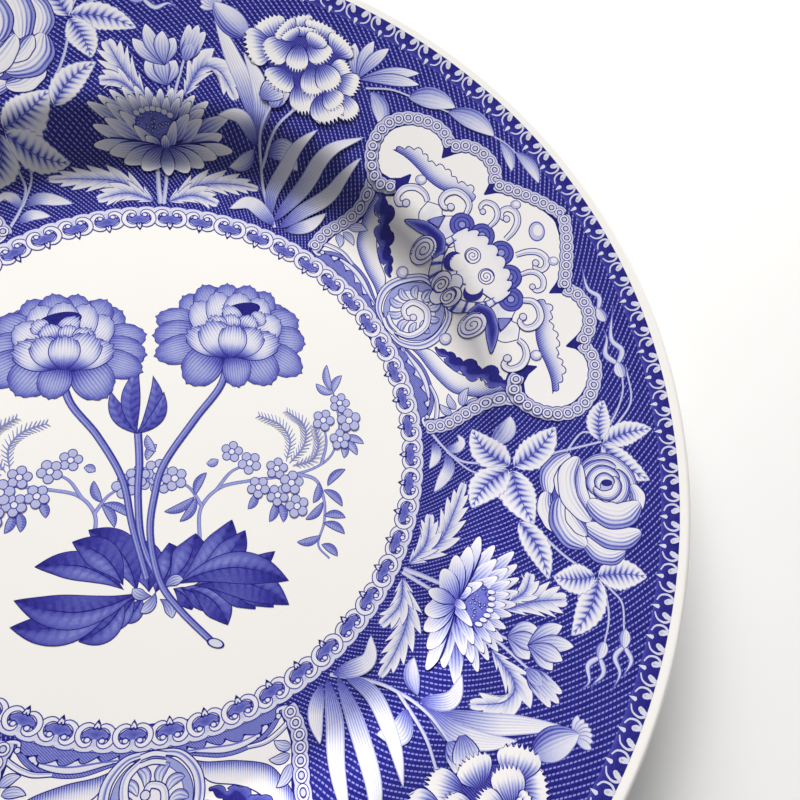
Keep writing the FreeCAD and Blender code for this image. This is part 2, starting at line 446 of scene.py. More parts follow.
class Print:
    """One printed sheet. Its shapes are laid down in order, each over the ones before."""

    def __init__(self, name, material, under=None):
        self.name = name
        self.material = material
        self.plan, self.lift, self.tone, self.stroke, self.row, self.faces = [], [], [], [], [], []
        self.count = 0
        self.layer = None
        self.strip = 0
        self.top = under.top if under else np.zeros((PLATE_CELLS, PLATE_CELLS))

    def next_layer(self, plan):
        """The lowest layer that is above all that already lies near these points."""
        cell = np.unique((plan + PLATE_CELLS / 2).astype(int), axis=0)
        near = np.unique(np.vstack([cell + (i, j) for i in (-1, 0, 1) for j in (-1, 0, 1)]), axis=0)
        layer = self.top[cell[:, 0], cell[:, 1]].max() + 1
        self.top[near[:, 0], near[:, 1]] = np.maximum(self.top[near[:, 0], near[:, 1]], layer)
        return layer

    def lay(self, plan, faces, tone=0.1, hatching=0.0, outline=0.0, phase=0.0, edge=9.0):
        """Adds one shape. Its marks are a number each, or one for each of its points."""
        count = len(plan)
        layer = self.next_layer(plan) if self.layer is None else self.layer
        column = lambda value: np.broadcast_to(np.asarray(value, float), count)
        faces = np.asarray(faces)
        first, second, third = (plan[faces[:, i]] for i in (0, 1, 2))
        side, rise = second - first, third - first
        flipped = side[:, 0] * rise[:, 1] - side[:, 1] * rise[:, 0] < 0
        faces[flipped] = faces[flipped][:, ::-1]
        self.plan.append(plan)
        self.tone.append(np.column_stack([column(tone), column(hatching), column(outline)]))
        self.stroke.append(np.column_stack([column(phase), column(edge), column(0.0)]))
        reach = np.hypot(*plan.T)
        ramp = np.clip(np.minimum(reach - CURVED[0] + 4, CURVED[1] + 4 - reach) / 4, 0, 1)
        self.lift.append(FIRST_LIFT + layer * (LAYER + (CURVED_LAYER - LAYER) * ramp))
        self.row.append(np.full(count, self.strip))
        self.faces += (faces + self.count).tolist()
        self.count += count

    def grid(self, plan, rows, columns, **marks):
        """A shape whose points run row by row. Where the plate curves most, it gets more of them."""
        sizes = rows, columns
        values = {name: np.broadcast_to(np.asarray(value, float), rows * columns).reshape(sizes)
                  for name, value in marks.items()}
        values["x"], values["y"] = plan.T.reshape(2, *sizes)
        reach = np.hypot(values["x"], values["y"])
        if ((reach > CURVED[0]) & (reach < CURVED[1])).any():
            for axis in (0, 1):
                finer = math.ceil(abs(np.diff(reach, axis=axis)).max() / FINE)
                old = np.arange(sizes[axis])
                new = np.linspace(0, sizes[axis] - 1, (sizes[axis] - 1) * max(1, finer) + 1)
                spread = lambda line: np.interp(new, old, line)
                values = {name: np.apply_along_axis(spread, axis, value) for name, value in values.items()}
                sizes = values["x"].shape
        rows, columns = sizes
        plan = np.column_stack([values.pop("x").ravel(), values.pop("y").ravel()])
        corner = (np.arange(rows - 1)[:, None] * columns + np.arange(columns - 1)).ravel()
        self.lay(plan, np.column_stack([corner, corner + 1, corner + columns + 1, corner + columns]),
                 **{name: value.ravel() for name, value in values.items()})

    def dot(self, centre, radius, sides=14, squash=1.0, tilt=0.0, tone=0.1, outline=0.0):
        """A small disc or oval."""
        rings = math.ceil(radius / FINE)
        turn = np.linspace(0, 2 * math.pi, sides, endpoint=False)
        ring = np.column_stack([radius * np.cos(turn), radius * squash * np.sin(turn)])
        spin = np.array([[math.cos(tilt), math.sin(tilt)], [-math.sin(tilt), math.cos(tilt)]])
        shares = np.arange(1, rings + 1) / rings
        plan = np.vstack([np.zeros((1, 2))] + [ring @ spin * share for share in shares])
        plan = plan + np.asarray(centre).ravel()
        rim = np.arange(1, sides + 1)
        faces = [np.column_stack([np.zeros(sides, int), rim, np.roll(rim, -1)])]
        for k in range(rings - 1):
            near, far = rim + k * sides, rim + (k + 1) * sides
            faces.append(np.column_stack([near, far, np.roll(far, -1)]))
            faces.append(np.column_stack([near, np.roll(far, -1), np.roll(near, -1)]))
        edge = np.concatenate([[1], np.repeat(1 - shares, sides)]) * radius * min(1.0, squash)
        self.lay(plan, np.vstack(faces), tone=tone, outline=outline, edge=edge)

    def ribbon(self, points, width, tone=0.1, hatching=0.0, cell=0.8, columns=3, lines=0.0, veins=0.0,
               slant=0.0, sweep=0.0, **marks):
        """A strip along a smooth curve. width, tone and hatching are numbers or functions of how far
        along a point is, from 0 to 1, and how far across, from -1 to 1; width only of the first.
        lines is how many engraved lines run along each side, and veins how far apart they cross it."""
        rows = max(4, int(length_of(points) / cell) + 2)
        spine = smooth(points, rows)
        along = np.linspace(0, 1, rows)
        half = np.asarray(called(width, along)) / 2 * np.ones(rows)
        heading = np.gradient(spine, axis=0)
        heading /= np.maximum(np.linalg.norm(heading, axis=1), 1e-9)[:, None]
        side = np.column_stack([-heading[:, 1], heading[:, 0]])
        across = np.linspace(-1, 1, columns)
        out, on = half[:, None] * across, half[:, None] * abs(across) * sweep
        plan = spine[:, None] + side[:, None] * out[..., None] + heading[:, None] * on[..., None]
        plan = plan.reshape(-1, 2)
        s, t = (v.ravel() for v in np.meshgrid(along, across, indexing="ij"))
        edge = (half[:, None] * (1 - abs(across))).ravel()
        phase = t * lines
        if veins:
            phase = s * length_of(spine) / veins - abs(t) * slant
        self.grid(plan, rows, columns, tone=called(tone, s, t), hatching=called(hatching, s, t), phase=phase,
                  edge=edge, **marks)

    def stroke_line(self, points, width=0.22, tone=0.62, cell=0.7):
        """A drawn line that tapers at its ends."""
        self.ribbon(points, lambda s: width * (0.35 + 0.65 * np.sin(np.pi * s) ** 0.4), tone, cell=cell,
                    columns=2)

    def petal(self, root, tip, width, dome=0.25, neck=0.3, ruffle=0.0, frills=5, curl=0.0, tone=0.1,
              hatching=0.0, lines=4.0, outline=0.6, cell=0.8, columns=9, belly=0.62):
        """A petal from root to tip. dome rounds its far edge, neck is its width at the root, and
        ruffle is the depth of the frills in its far edge, as shares of its length."""
        root, tip = np.asarray(root, float).ravel(), np.asarray(tip, float).ravel()
        reach = tip - root
        length = np.linalg.norm(reach)
        up = reach / length
        side = np.array([up[1], -up[0]])
        rows = max(6, int(length / cell) + 2)
        s, t = np.meshgrid(np.linspace(0, 1, rows), np.linspace(-1, 1, columns), indexing="ij")
        shape = neck + (1 - neck) * np.sin(np.pi / 2 * np.minimum(s / belly, 1) ** 0.9)
        shape *= np.where(s > belly, np.sqrt(np.maximum(1 - ((s - belly) / (1 - belly) * 0.62) ** 2, 0)), 1)
        far = 1 - dome * t**2 - ruffle * (1 - (t * frills % 2 - 1) ** 2) * (1 - 0.4 * abs(t))
        y = s * far * length
        x = t * shape * width / 2 + curl * width * s**2
        plan = root + x.reshape(-1, 1) * side + y.reshape(-1, 1) * up
        edge = np.minimum((1 - abs(t)) * shape * width / 2, (1 - s) * length)
        edge[0] = edge[1]
        s, t = s.ravel(), t.ravel()
        self.grid(plan, rows, columns, tone=called(tone, s, t), hatching=called(hatching, s, t),
                  phase=t * lines, outline=outline, edge=edge.ravel())

    def cut_out(self, shape, tone=0.1, hatching=0.0, cell=1.0, phase=0.0, **marks):
        """Any closed shape, filled with an even net of points. tone, hatching and phase may be
        functions of a point's two coordinates and its distance from the edge."""
        shape = np.asarray(shape, float)
        reach = np.hypot(*shape.T)
        fine = FINE if reach.max() > CURVED[0] and reach.min() < CURVED[1] else cell
        ends = np.roll(shape, -1, axis=0)
        steps = np.ceil(np.linalg.norm(ends - shape, axis=1) / min(fine, cell)).astype(int)
        shape = np.vstack([
            a + (b - a) * np.arange(n)[:, None] / n for a, b, n in zip(shape, ends, steps) if n
        ])
        net = even_net(shape, cell)
        if fine < cell:
            net = np.vstack([net, even_net(shape, fine)])
        reach = np.hypot(*net.T)
        curved = (reach > CURVED[0]) & (reach < CURVED[1])
        if fine < cell:
            count = len(even_net(shape, cell))
            net = net[curved ^ (np.arange(len(net)) < count)]
        depth = inside_by(net, shape)
        net = net[depth > min(fine, cell) * 0.4]
        count = len(shape)
        edges = [(i, (i + 1) % count) for i in range(count)]
        found = delaunay_2d_cdt([Vector(p) for p in np.vstack([shape, net])], edges, [], 1, 1e-5)
        plan = np.array([tuple(p) for p in found[0]])
        faces = [corners for corners in found[2] if len(corners) == 3]
        edge = np.maximum(inside_by(plan, shape), 0)
        x, y = plan.T
        self.lay(plan, faces, tone=called(tone, x, y, edge), hatching=called(hatching, x, y, edge),
                 phase=called(phase, x, y, edge), edge=edge, **marks)

    def make(self, node, slot="blue_print", names=("tone", "stroke")):
        plan = np.vstack(self.plan)
        points, normals = drape(plan, np.concatenate(self.lift))
        mesh = bpy.data.meshes.new(self.name)
        mesh.from_pydata((points * MM).tolist(), [], self.faces)
        mesh.shade_smooth()
        for name, values in zip(names, (self.tone, self.stroke)):
            painted = mesh.attributes.new(name, "FLOAT_VECTOR", "POINT")
            painted.data.foreach_set("vector", np.vstack(values).astype(np.float32).ravel())
        corners = np.empty(len(mesh.loops), np.int32)
        mesh.loops.foreach_get("vertex_index", corners)
        flat = self.unrolled(plan)[corners].astype(np.float32)
        mesh.uv_layers.new(name="OFBake").uv.foreach_set("vector", flat.ravel())
        mesh.normals_split_custom_set_from_vertices(normals.tolist())
        piece = bpy.data.objects.new(self.name, mesh)
        mesh.materials.append(self.material)
        bpy.context.collection.objects.link(piece)
        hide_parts(node)
        return piece

    def unrolled(self, plan):
        """Where each point lies on the print's flat map, which fills its square."""
        low, high = plan.min(axis=0), plan.max(axis=0)
        return (plan - low) / (high - low) * 0.98 + 0.01


class BandPrint(Print):
    """A print in a ring, whose flat map is cut into strips that lie one above the other."""

    def __init__(self, name, material, inner, outer, strips, start):
        super().__init__(name, material)
        self.inner, self.outer, self.strips, self.start = inner, outer, strips, start

    def unrolled(self, plan):
        angle = np.degrees(np.arctan2(plan[:, 1], plan[:, 0])) - self.start
        row = np.concatenate(self.row)
        share = 360 / self.strips
        along = ((angle - (row + 0.5) * share + 180) % 360 - 180) / share * 0.92 + 0.5
        up = (np.hypot(*plan.T) - self.inner) / (self.outer - self.inner)
        return np.column_stack([along, (row + 0.04 + 0.92 * up) / self.strips])


def even_net(shape, cell):
    """Evenly spaced points over a shape's box."""
    low, high = shape.min(axis=0), shape.max(axis=0)
    across = np.arange(low[0] + cell / 2, high[0], cell)
    up = np.arange(low[1] + cell / 2, high[1], cell * 0.87)
    return np.array([(x + (i % 2) * cell / 2, y) for i, y in enumerate(up) for x in across]).reshape(-1, 2)


def called(value, *places):
    """A mark that may be a number or a function."""
    return value(*places) if callable(value) else value


def inside_by(points, outline):
    """How far inside a closed outline each point lies. It is negative outside."""
    ends = np.roll(outline, -1, axis=0)
    run = ends - outline
    away = points[:, None] - outline
    share = np.clip((away * run).sum(2) / np.maximum((run**2).sum(1), 1e-12), 0, 1)
    gap = np.linalg.norm(away - share[..., None] * run, axis=2).min(axis=1)
    above = outline[:, 1] > points[:, 1:]
    crossed = above != np.roll(above, -1, axis=1)
    level = np.where(crossed, (points[:, 1:] - outline[:, 1]) / np.where(run[:, 1] == 0, 1, run[:, 1]), 0)
    left = crossed & (points[:, :1] < outline[:, 0] + level * run[:, 0])
    return np.where(left.sum(axis=1) % 2 == 1, gap, -gap)


def fade(root, tip, side=0.0):
    """Tone that runs from root to tip, with more at the sides."""
    return lambda s, t: root + (tip - root) * s**0.8 + side * t**2


def leaf_width(width, fullest=0.4, point=0.8):
    """Width of a pointed leaf, fullest this far along."""
    power = math.log(0.5) / math.log(fullest)
    return lambda s: width * np.sin(np.pi * s**power) ** point + 0.06


# --- the well's scroll border and the band at the lip ---------------------------------------------

WELL_SCROLLS = 51
EDGE_SCROLLS = 108
SCROLLS_A_STRIP, HOOKS_A_STRIP = 6, 9      # how many units share a strip of the baking map
SCROLL_MARK, EDGE_MARK = 62.0, 127.0       # the radii that each unit's drawing is measured from
BORDER_LAYER = 12.5


def scroll_unit(border, spot):
    """Two white scrolls that face each other over a dart."""
    at = lambda points: spot(np.asarray(points, float) - (0, SCROLL_MARK))
    border.layer = border.base + 1
    border.cut_out(
        at([(-2.7, 62.9), (-1.5, 62.4), (0, 63.4), (1.5, 62.4), (2.7, 62.9), (2.9, 61.6), (1.6, 60.7),
            (0, 60.5), (-1.6, 60.7), (-2.9, 61.6)]),
        tone=lambda x, y, edge: 0.4 + 0.22 * edge, cell=0.7, outline=0.9,
    )
    border.layer = border.base + 1.5
    border.dot(at((0, 63.5)), 0.62, tone=0.2, squash=1.2)
    for side in (-1, 1):
        mirror = np.array([side, 1])
        scroll = np.array([(0.5, 60.35), (1.5, 60.0), (2.7, 60.4), (3.5, 61.4), (3.45, 62.8), (2.5, 63.9),
                           (1.4, 64.0), (0.75, 63.4), (1.1, 62.75)])
        border.layer = border.base + 2
        border.ribbon(at(scroll * mirror), lambda s: 0.6 + 0.85 * np.sin(np.pi * s**0.8) ** 0.7, tone=0.05,
                      outline=0.85, cell=0.6, columns=5)
        border.layer = border.base + 3
        border.dot(at(np.array((1.5, 63.0)) * mirror), 0.8, squash=0.8, tone=0.06, outline=0.8)
    border.layer = border.base + 4
    border.cut_out(
        at([(0, 58.7), (0.5, 59.5), (0.95, 60.6), (0.5, 61.0), (0, 60.75), (-0.5, 61.0), (-0.95, 60.6),
            (-0.5, 59.5)]),
        tone=0.08, cell=0.6, outline=1.0,
    )
    border.layer = border.base + 5
    border.dot(at((0, 60.4)), 0.2, sides=8, tone=0.85)


def well_scroll_border(material):
    step = 360 / WELL_SCROLLS
    start = -0.2 - step / 2
    border = BandPrint("well_scroll_border", material, *SCROLL_SHEET, WELL_SCROLLS / SCROLLS_A_STRIP, start)
    for unit in range(WELL_SCROLLS):
        angle = start + (unit + 0.5) * step
        border.strip = unit // SCROLLS_A_STRIP
        spot = Spot(angle, SCROLL_MARK)
        border.base = BORDER_LAYER + 0.3 * (unit % 3)
        border.layer = border.base
        reach = np.linspace(-0.5, 0.5, 17)
        scallop = abs(np.cos(2 * math.pi * (reach + 0.25)))
        outer = np.array([rim_place(angle - x * step, 65.05 + 0.55 * c**0.6) for x, c in zip(reach, scallop)])
        inner = np.array([rim_place(angle - x * step, 60.35 + 0.3 * np.cos(4 * math.pi * x)) for x in reach])
        rows = 9
        plan = np.vstack([inner + (outer - inner) * k / (rows - 1) for k in range(rows)])
        height = np.repeat(np.linspace(0, 1, rows), len(reach))
        edge = np.minimum(height, 1 - height) * 4.9
        border.grid(plan, rows, len(reach), tone=0.13, outline=0.8, edge=edge)
        scroll_unit(border, spot)
    return border.make("well_scroll_border_print")


def edge_band(material):
    """Pale hooks in pairs over a drop, on the darkest ground, along the lip."""
    step = 360 / EDGE_SCROLLS
    start = PANEL_BEARING - step / 2
    band = BandPrint("edge_band", material, *EDGE_SHEET, EDGE_SCROLLS / HOOKS_A_STRIP, start)
    for unit in range(EDGE_SCROLLS):
        angle = start + (unit + 0.5) * step
        band.strip = unit // HOOKS_A_STRIP
        spot = Spot(angle, EDGE_MARK)
        at = lambda points: spot(np.asarray(points, float) - (0, EDGE_MARK))
        base = BORDER_LAYER + 0.3 * (unit % 2)
        band.layer = base
        reach = np.linspace(-0.5, 0.5, 9)
        rows = 6
        across = np.linspace(EDGE_IN + 0.3, EDGE_OUT, rows)
        plan = np.array([rim_place(angle - x * step, r) for r in across for x in reach])
        height = np.repeat(np.linspace(0, 1, rows), len(reach))
        band.grid(plan, rows, len(reach), tone=0.93 - 0.25 * (1 - height) ** 3)
        for side in (-1, 1):
            mirror = np.array([side, 1])
            band.layer = base + 1
            hook = np.array([(2.5, 129.3), (3.2, 128.3), (3.25, 127.2), (2.7, 126.0), (1.4, 125.3)])
            band.ribbon(at(hook * mirror), lambda s: 0.62 - 0.3 * s, tone=0.16, cell=0.6, columns=3)
            band.layer = base + 2
            ball = np.array([(2.0, 129.35), (1.9, 128.6), (1.45, 127.6)])
            band.ribbon(at(ball * mirror), lambda s: 0.9 + 0.5 * np.sin(np.pi * s**1.6), tone=0.13, cell=0.4,
                        columns=3)
            band.dot(at(np.array((1.5, 127.75)) * mirror), 0.62, tone=0.14, sides=10)
        band.cut_out(at([(0, 124.2), (0.42, 125.4), (0.5, 126.0), (0, 126.3), (-0.5, 126.0), (-0.42, 125.4)]),
                     tone=0.12, cell=0.7)
    return band.make("edge_border_print")


# --- the rim's ground ----------------------------------------------------------------------------

TWILL_ROWS = 408
TWILL_SLANT = 0.62
DASH = 0.95


def twill_ground(name, node, start, spread, material):
    """The dark twill under the flowers, over one share of the rim."""
    ground = Print(name, material)
    ground.layer = 0
    reach = np.concatenate([np.linspace(SCROLL_OUT - 1.3, WELL_R, 10), np.linspace(WELL_R, 97, 56)[1:],
                            np.linspace(97, EDGE_IN + 0.6, 24)[1:]])
    angles = np.linspace(start, start + spread, int(spread * 1.6))
    r, a = (v.ravel() for v in np.meshgrid(reach, angles, indexing="ij"))
    plan = np.column_stack([r * np.cos(np.radians(a)), r * np.sin(np.radians(a))])
    row = TWILL_ROWS * a / 360 - TWILL_SLANT * r
    dash = (r + 0.45 * np.radians(a) * 100) / DASH
    ground.grid(plan, len(reach), len(angles), tone=0.95, hatching=row, outline=dash)
    return ground.make(node, names=("twill", "stroke"))


# --- leaves, stems and buds -----------------------------------------------------------------------


def serrate(width, teeth, depth=0.16):
    """A leaf's width with saw teeth along both its edges."""
    plain = leaf_width(width, 0.42)
    return lambda s: plain(s) * (1 + depth * ((s * teeth) % 1 - 0.5))


def bent(root, tip, bow, count=3):
    """A curved line between two points, bowed to its left by a share of its length."""
    root, tip = np.asarray(root, float).ravel(), np.asarray(tip, float).ravel()
    reach = tip - root
    side = np.array([-reach[1], reach[0]])
    share = np.linspace(0, 1, count)[:, None]
    return root + share * reach + bow * np.sin(np.pi * share) * side


def rose_leaf(sheet, root, tip, width, bow=0.06):
    """A saw-edged leaf, pale between fine veins."""
    path = bent(root, tip, bow, 5)
    veins = length_of(path) / 9
    sheet.ribbon(
        path, serrate(width, 9), cell=0.42, columns=9, veins=veins, slant=1.1, outline=0.3,
        tone=lambda s, t: 0.03 + 0.42 * np.exp(-(abs(t) * 2.8) ** 1.6) * (1.05 - s),
        hatching=lambda s, t: 0.62 * np.maximum(0, 1 - abs(t) * 1.25) ** 1.3,
    )
    sheet.stroke_line(smooth(path, 12)[:-1], 0.26, 0.6)


def blade_leaf(sheet, points, width, fullest=0.45, root_tone=0.62, tip_tone=0.04, lines=3.5):
    """A long striped leaf that darkens towards its foot."""
    sheet.ribbon(
        points, leaf_width(width, fullest), cell=0.7, columns=9, lines=lines, outline=0.3,
        tone=lambda s, t: root_tone + (tip_tone - root_tone) * np.minimum(1, s * 1.9) ** 0.8 + 0.05 * t,
        hatching=lambda s, t: 0.24 * (1 - 0.8 * s),
    )


def plain_leaf(sheet, root, tip, width, bow=0.12, root_tone=0.36, tip_tone=0.05):
    """A small smooth leaf shaded along one side."""
    sheet.ribbon(
        bent(root, tip, bow, 5), leaf_width(width, 0.48), cell=0.55, columns=7, lines=2.5, outline=0.35,
        tone=lambda s, t: np.clip(
            root_tone + (tip_tone - root_tone) * s**0.7 + 0.22 * np.maximum(0, t), 0, 1
        ),
        hatching=lambda s, t: 0.28 * (1 - s) * (0.4 + np.maximum(0, t)),
    )


def stem(sheet, points, width=0.75, tone=0.16):
    sheet.ribbon(points, lambda s: width * (1 - 0.25 * s), tone=lambda s, t: tone + 0.2 * np.maximum(0, t),
                        cell=0.8, columns=5, outline=0.25)


def acanthus_leaf(sheet, points, width, lobes=6):
    """A leaf cut into forward-pointing lobes on both sides of a shaded rib."""
    plain = leaf_width(width * 1.55, 0.42)
    jagged = lambda s: plain(s) * (0.5 + 0.5 * ((s * lobes + 0.35) % 1) ** 0.8)
    sheet.ribbon(
        points, jagged, sweep=0.95, cell=0.22, columns=13, outline=0.75, veins=length_of(points) / lobes / 3,
        slant=1.2, tone=lambda s, t: 0.03 + (0.46 - 0.26 * s) * np.exp(-(abs(t) * 3.0) ** 1.4),
        hatching=lambda s, t: 0.34 * np.maximum(0, 0.8 - abs(t)) * (1.1 - s),
    )
    sheet.stroke_line(smooth(points, 12)[:-1], 0.3, 0.6)


def rose_hip(sheet, root, middle, tips, size=1.0):
    """A round hip on its stalk. Above it two long sepals bow apart, meet again and flare."""
    root, middle = np.asarray(root).ravel(), np.asarray(middle).ravel()
    up = (middle - root) / np.linalg.norm(middle - root)
    side = np.array([-up[1], up[0]])
    crown = middle + up * 1.5 * size
    tips = sorted((np.ravel(tip) for tip in tips), key=lambda tip: -float((tip - crown) @ side))
    for way, tip in zip((1, -1), tips):
        sepal = [crown, crown + (up * 3.4 + side * way * 2.3) * size,
                 crown + (up * 7.4 + side * way * 0.6) * size, tip]
        sheet.ribbon(sepal, lambda s: (0.9 + 1.3 * np.sin(np.pi * s**0.7)) * (1 - 0.75 * s) * size, cell=0.5,
                     columns=7,
                     tone=lambda s, t: 0.1 + 0.16 * np.clip(t, 0, 1), lines=2, hatching=0.1, outline=0.6)
    swell = lambda s: (0.5 + 3.1 * np.sin(np.pi * s**0.9) ** 0.7) * size
    sheet.ribbon([root, (root + middle) / 2, middle, crown + up * 0.6 * size], swell, cell=0.4, columns=9,
                 lines=2.5, hatching=0.14, tone=lambda s, t: 0.06 + 0.4 * np.clip(-t, 0, 1), outline=0.7)


def calyx_bud(sheet, root, tip, width):
    """A closed bud in its calyx: three petals over a striped cup."""
    root, tip = np.asarray(root).ravel(), np.asarray(tip).ravel()
    reach = tip - root
    side = np.array([reach[1], -reach[0]]) / np.linalg.norm(reach)
    for place, spread in ((-0.5, 0.34), (0.5, 0.34), (0, 0.0)):
        sheet.petal(
            root + reach * 0.1, tip - reach * spread * 0.25 + side * place * width * 0.7, width * 0.62,
            dome=0.5,
            neck=0.5, tone=fade(0.45, 0.02, 0.08), hatching=lambda s, t: 0.28 * (1 - s), lines=2.5,
            outline=0.9, columns=7,
        )
    sheet.ribbon([root, root + reach * 0.3, root + reach * 0.5], leaf_width(width * 0.5, 0.5),
                        tone=fade(0.5, 0.12), lines=2, hatching=0.2, columns=5, outline=0.4)


# --- the rim's flowers ----------------------------------------------------------------------------

ROSE_SCALE = 0.9


# A carnation's petals, the farthest first: where each starts and ends, and how wide it is.
CARNATION_PETALS = [
    ((-6.6, 10.3), (-9.9, 13.7), 10.0), ((-1.3, 11.0), (-1.3, 16.0), 9.5), ((-11.9, 6.3), (-16.6, 10.3), 9.5),
    ((3.9, 8.9), (6.1, 14.0), 8.9), ((-12.1, 3.5), (-18.3, -0.3), 10.5), ((-4.8, 9.8), (-5.8, 12.8), 7.9),
    ((4.7, 3.3), (9.7, 7.2), 6.8), ((7.3, 2.2), (13.7, 1.6), 7.9), ((-5.6, -1.0), (-7.9, -7.2), 8.9),
    ((-1.6, -3.0), (2.5, -10.8), 7.4), ((9.1, -1.6), (15.4, -6.4), 6.8), ((4.3, -3.8), (10.2, -10.0), 9.5),
    ((5.3, -1.8), (10.7, -4.7), 6.8), ((-8.1, 6.5), (-13.0, -0.1), 7.9), ((-8.2, 8.7), (-12.1, 10.2), 7.9),
    ((-2.8, 8.8), (3.2, 5.3), 7.4), ((-2.4, 7.9), (-1.3, 12.7), 6.3), ((-0.6, 2.4), (2.6, -5.5), 6.3),
    ((1.6, 4.2), (8.0, -0.9), 7.4), ((-6.9, 8.0), (-9.8, 9.8), 5.8), ((-5.2, 6.9), (-3.5, -0.7), 6.2),
]


def carnation(sheet, spot):
    """A wide carnation seen from a little below: broad pinked petals, lapping downwards."""
    turn = np.linspace(0, 2 * math.pi, 40, endpoint=False)
    sheet.cut_out(spot(np.column_stack([11.6 * np.cos(turn), 1.8 + 8.6 * np.sin(turn)])), cell=0.8, tone=0.66,
                  hatching=0.3, phase=lambda x, y, edge: (x + y) / 0.7, outline=0.3)
    for count, (root, tip, width) in enumerate(CARNATION_PETALS):
        sheet.petal(
            spot(root), spot(tip), width, ruffle=0.17, frills=7.0, dome=0.2, neck=0.34, belly=0.74,
            columns=43, cell=0.5, lines=5, outline=1.15, curl=0.05 * (-1) ** count,
            tone=lambda s, t: 0.6 - 0.6 * np.minimum(1, s * 1.5) ** 1.1 + 0.06 * t,
            hatching=lambda s, t: 0.42 * np.clip(1 - s * 1.25, 0, 1),
        )


def rolled(sheet, spot, points, width, shade=1, deep=0.5, ends=0.42):
    """One rolled petal, seen from the side: white, with engraved shading below its roll."""
    wavy = lambda s: width * (np.sin(np.pi * s) ** ends * (1 + 0.04 * np.sin(s * 19))) + 0.04
    sheet.ribbon(
        spot(np.asarray(points) * ROSE_SCALE), wavy, cell=0.3, columns=13, lines=3, outline=1.1,
        tone=lambda s, t: (
            0.03 + deep * np.clip(shade * t, 0, 1) ** 1.5 + 0.12 * np.clip(-shade * t - 0.5, 0, 1)
        ),
        hatching=lambda s, t: 0.6 * np.clip(shade * t + 0.55, 0, 1) * (0.45 + 0.55 * abs(2 * s - 1)),
    )


def rose(sheet, spot):
    """A full rose turned to the side: tall petals, a coiled cup and three rolled petals below."""
    sheet.cut_out(
        spot(smooth([(-10.6, -8.4), (-2, -11.4), (6.0, -9.4), (9.8, -3.0), (12.0, 2.0), (9.0, 8.0),
                     (3.0, 10.6),
                     (-4.0, 10.4), (-10.4, 4.4), (-11.4, -2.0), (-10.6, -8.4)], 60)[:-1] * ROSE_SCALE),
        cell=0.8, tone=0.5, hatching=0.25, phase=lambda x, y, edge: (x + y) / 0.6, outline=0.8,
    )
    rolled(sheet, spot, [(-1.0, -12.4), (-5.6, -13.0), (-9.4, -11.0), (-13.4, -7.0)], 5.0, 1)
    rolled(sheet, spot, [(-2.0, -13.0), (2.0, -13.2), (6.0, -11.4), (9.2, -8.6)], 5.0, 1)
    rolled(sheet, spot, [(-1.0, -9.2), (-6.0, -9.2), (-11.2, -6.8)], 3.6, -1, 0.3)
    rolled(sheet, spot, [(10.0, -2.2), (12.9, 1.6), (13.6, 5.4), (12.0, 9.4)], 5.4, -1)
    rolled(sheet, spot, [(6.2, -2.0), (8.2, 3.0), (8.8, 8.4), (6.4, 13.8)], 6.2, -1)
    rolled(sheet, spot, [(-0.8, -9.0), (4.6, -8.6), (9.2, -6.0), (12.0, -1.4)], 7.2, -1)
    rolled(sheet, spot, [(0.6, -6.6), (5.0, -5.2), (9.2, -1.4)], 4.0, 1, 0.6)
    heart = np.array((-5.2, 3.6))
    sheet.dot(spot(heart * ROSE_SCALE), 7.6 * ROSE_SCALE, sides=34, squash=1.08, tone=0.24, outline=1.0)
    rolled(sheet, spot, [(-4.6, -4.0), (-10.4, -2.2), (-12.8, 2.6), (-11.0, 7.8), (-6.6, 11.0),
                         (-1.2, 11.0)], 3.4, 1,
           0.4)
    for size, start, sweep, width in ((5.8, 150, 210, 3.2), (5.2, 330, 180, 3.4), (4.0, 110, 220, 2.8),
                                      (3.3, 290, 210, 2.8), (2.1, 90, 230, 2.2)):
        turn = np.radians(np.linspace(start, start + sweep, 8))
        rolled(sheet, spot,
               heart + (-0.6, -0.2) + np.column_stack([np.cos(turn), np.sin(turn) * 1.05]) * size, width,
               -1, 0.6)
    sheet.dot(spot((heart + (-1.0, 0.2)) * ROSE_SCALE), 1.5, sides=12, squash=0.6, tone=0.9)
    rolled(sheet, spot, [(5.2, -0.4), (-1.0, -5.2), (-7.2, -6.6), (-12.8, -4.6)], 7.0, -1, 0.4)
    rolled(sheet, spot, [(3.4, 0.2), (-3.4, -3.2), (-10.8, -3.8)], 3.0, 1, 0.35)
    rolled(sheet, spot, [(-6.6, 10.8), (-3.0, 12.8), (1.6, 11.8)], 4.0, -1)
    rolled(sheet, spot, [(-0.6, -1.4), (2.4, 3.2), (2.4, 8.6), (-1.6, 13.4)], 6.8, -1, 0.45)


# A lotus petal by petal, each by its tip and its width; the root of them all is below the dome.
LOTUS_ROOT = np.array((1.2, -3.3))
LOTUS_BACK = [((-16.0, 3.4), 3.4), ((18.4, 2.2), 3.6), ((-13.4, 5.2), 3.2), ((13.4, 5.6), 3.2),
              ((-10.6, 6.8), 3.0),
              ((10.0, 7.0), 3.0), ((-7.6, 7.8), 2.8), ((7.2, 8.4), 2.8), ((-4.6, 8.4), 2.8),
              ((4.6, 8.6), 2.8), ((-1.8, 8.4), 2.8), ((1.6, 8.2), 2.8)]
LOTUS_FRONT = [((-11.6, 3.6), 3.4), ((12.2, 3.8), 3.4), ((-9.0, 5.2), 2.8), ((9.0, 5.4), 2.8),
               ((-6.2, 6.0), 2.6),
               ((6.2, 6.2), 2.6), ((-3.4, 6.2), 2.5), ((3.2, 6.2), 2.5), ((0.0, 6.2), 2.5)]
LOTUS_SIDES = [((-15.6, -0.6), 3.4), ((16.4, -1.0), 3.6), ((-12.6, 0.8), 3.4), ((11.6, 1.8), 3.6),
               ((-8.8, 2.4), 3.2), ((8.4, 2.8), 3.2)]
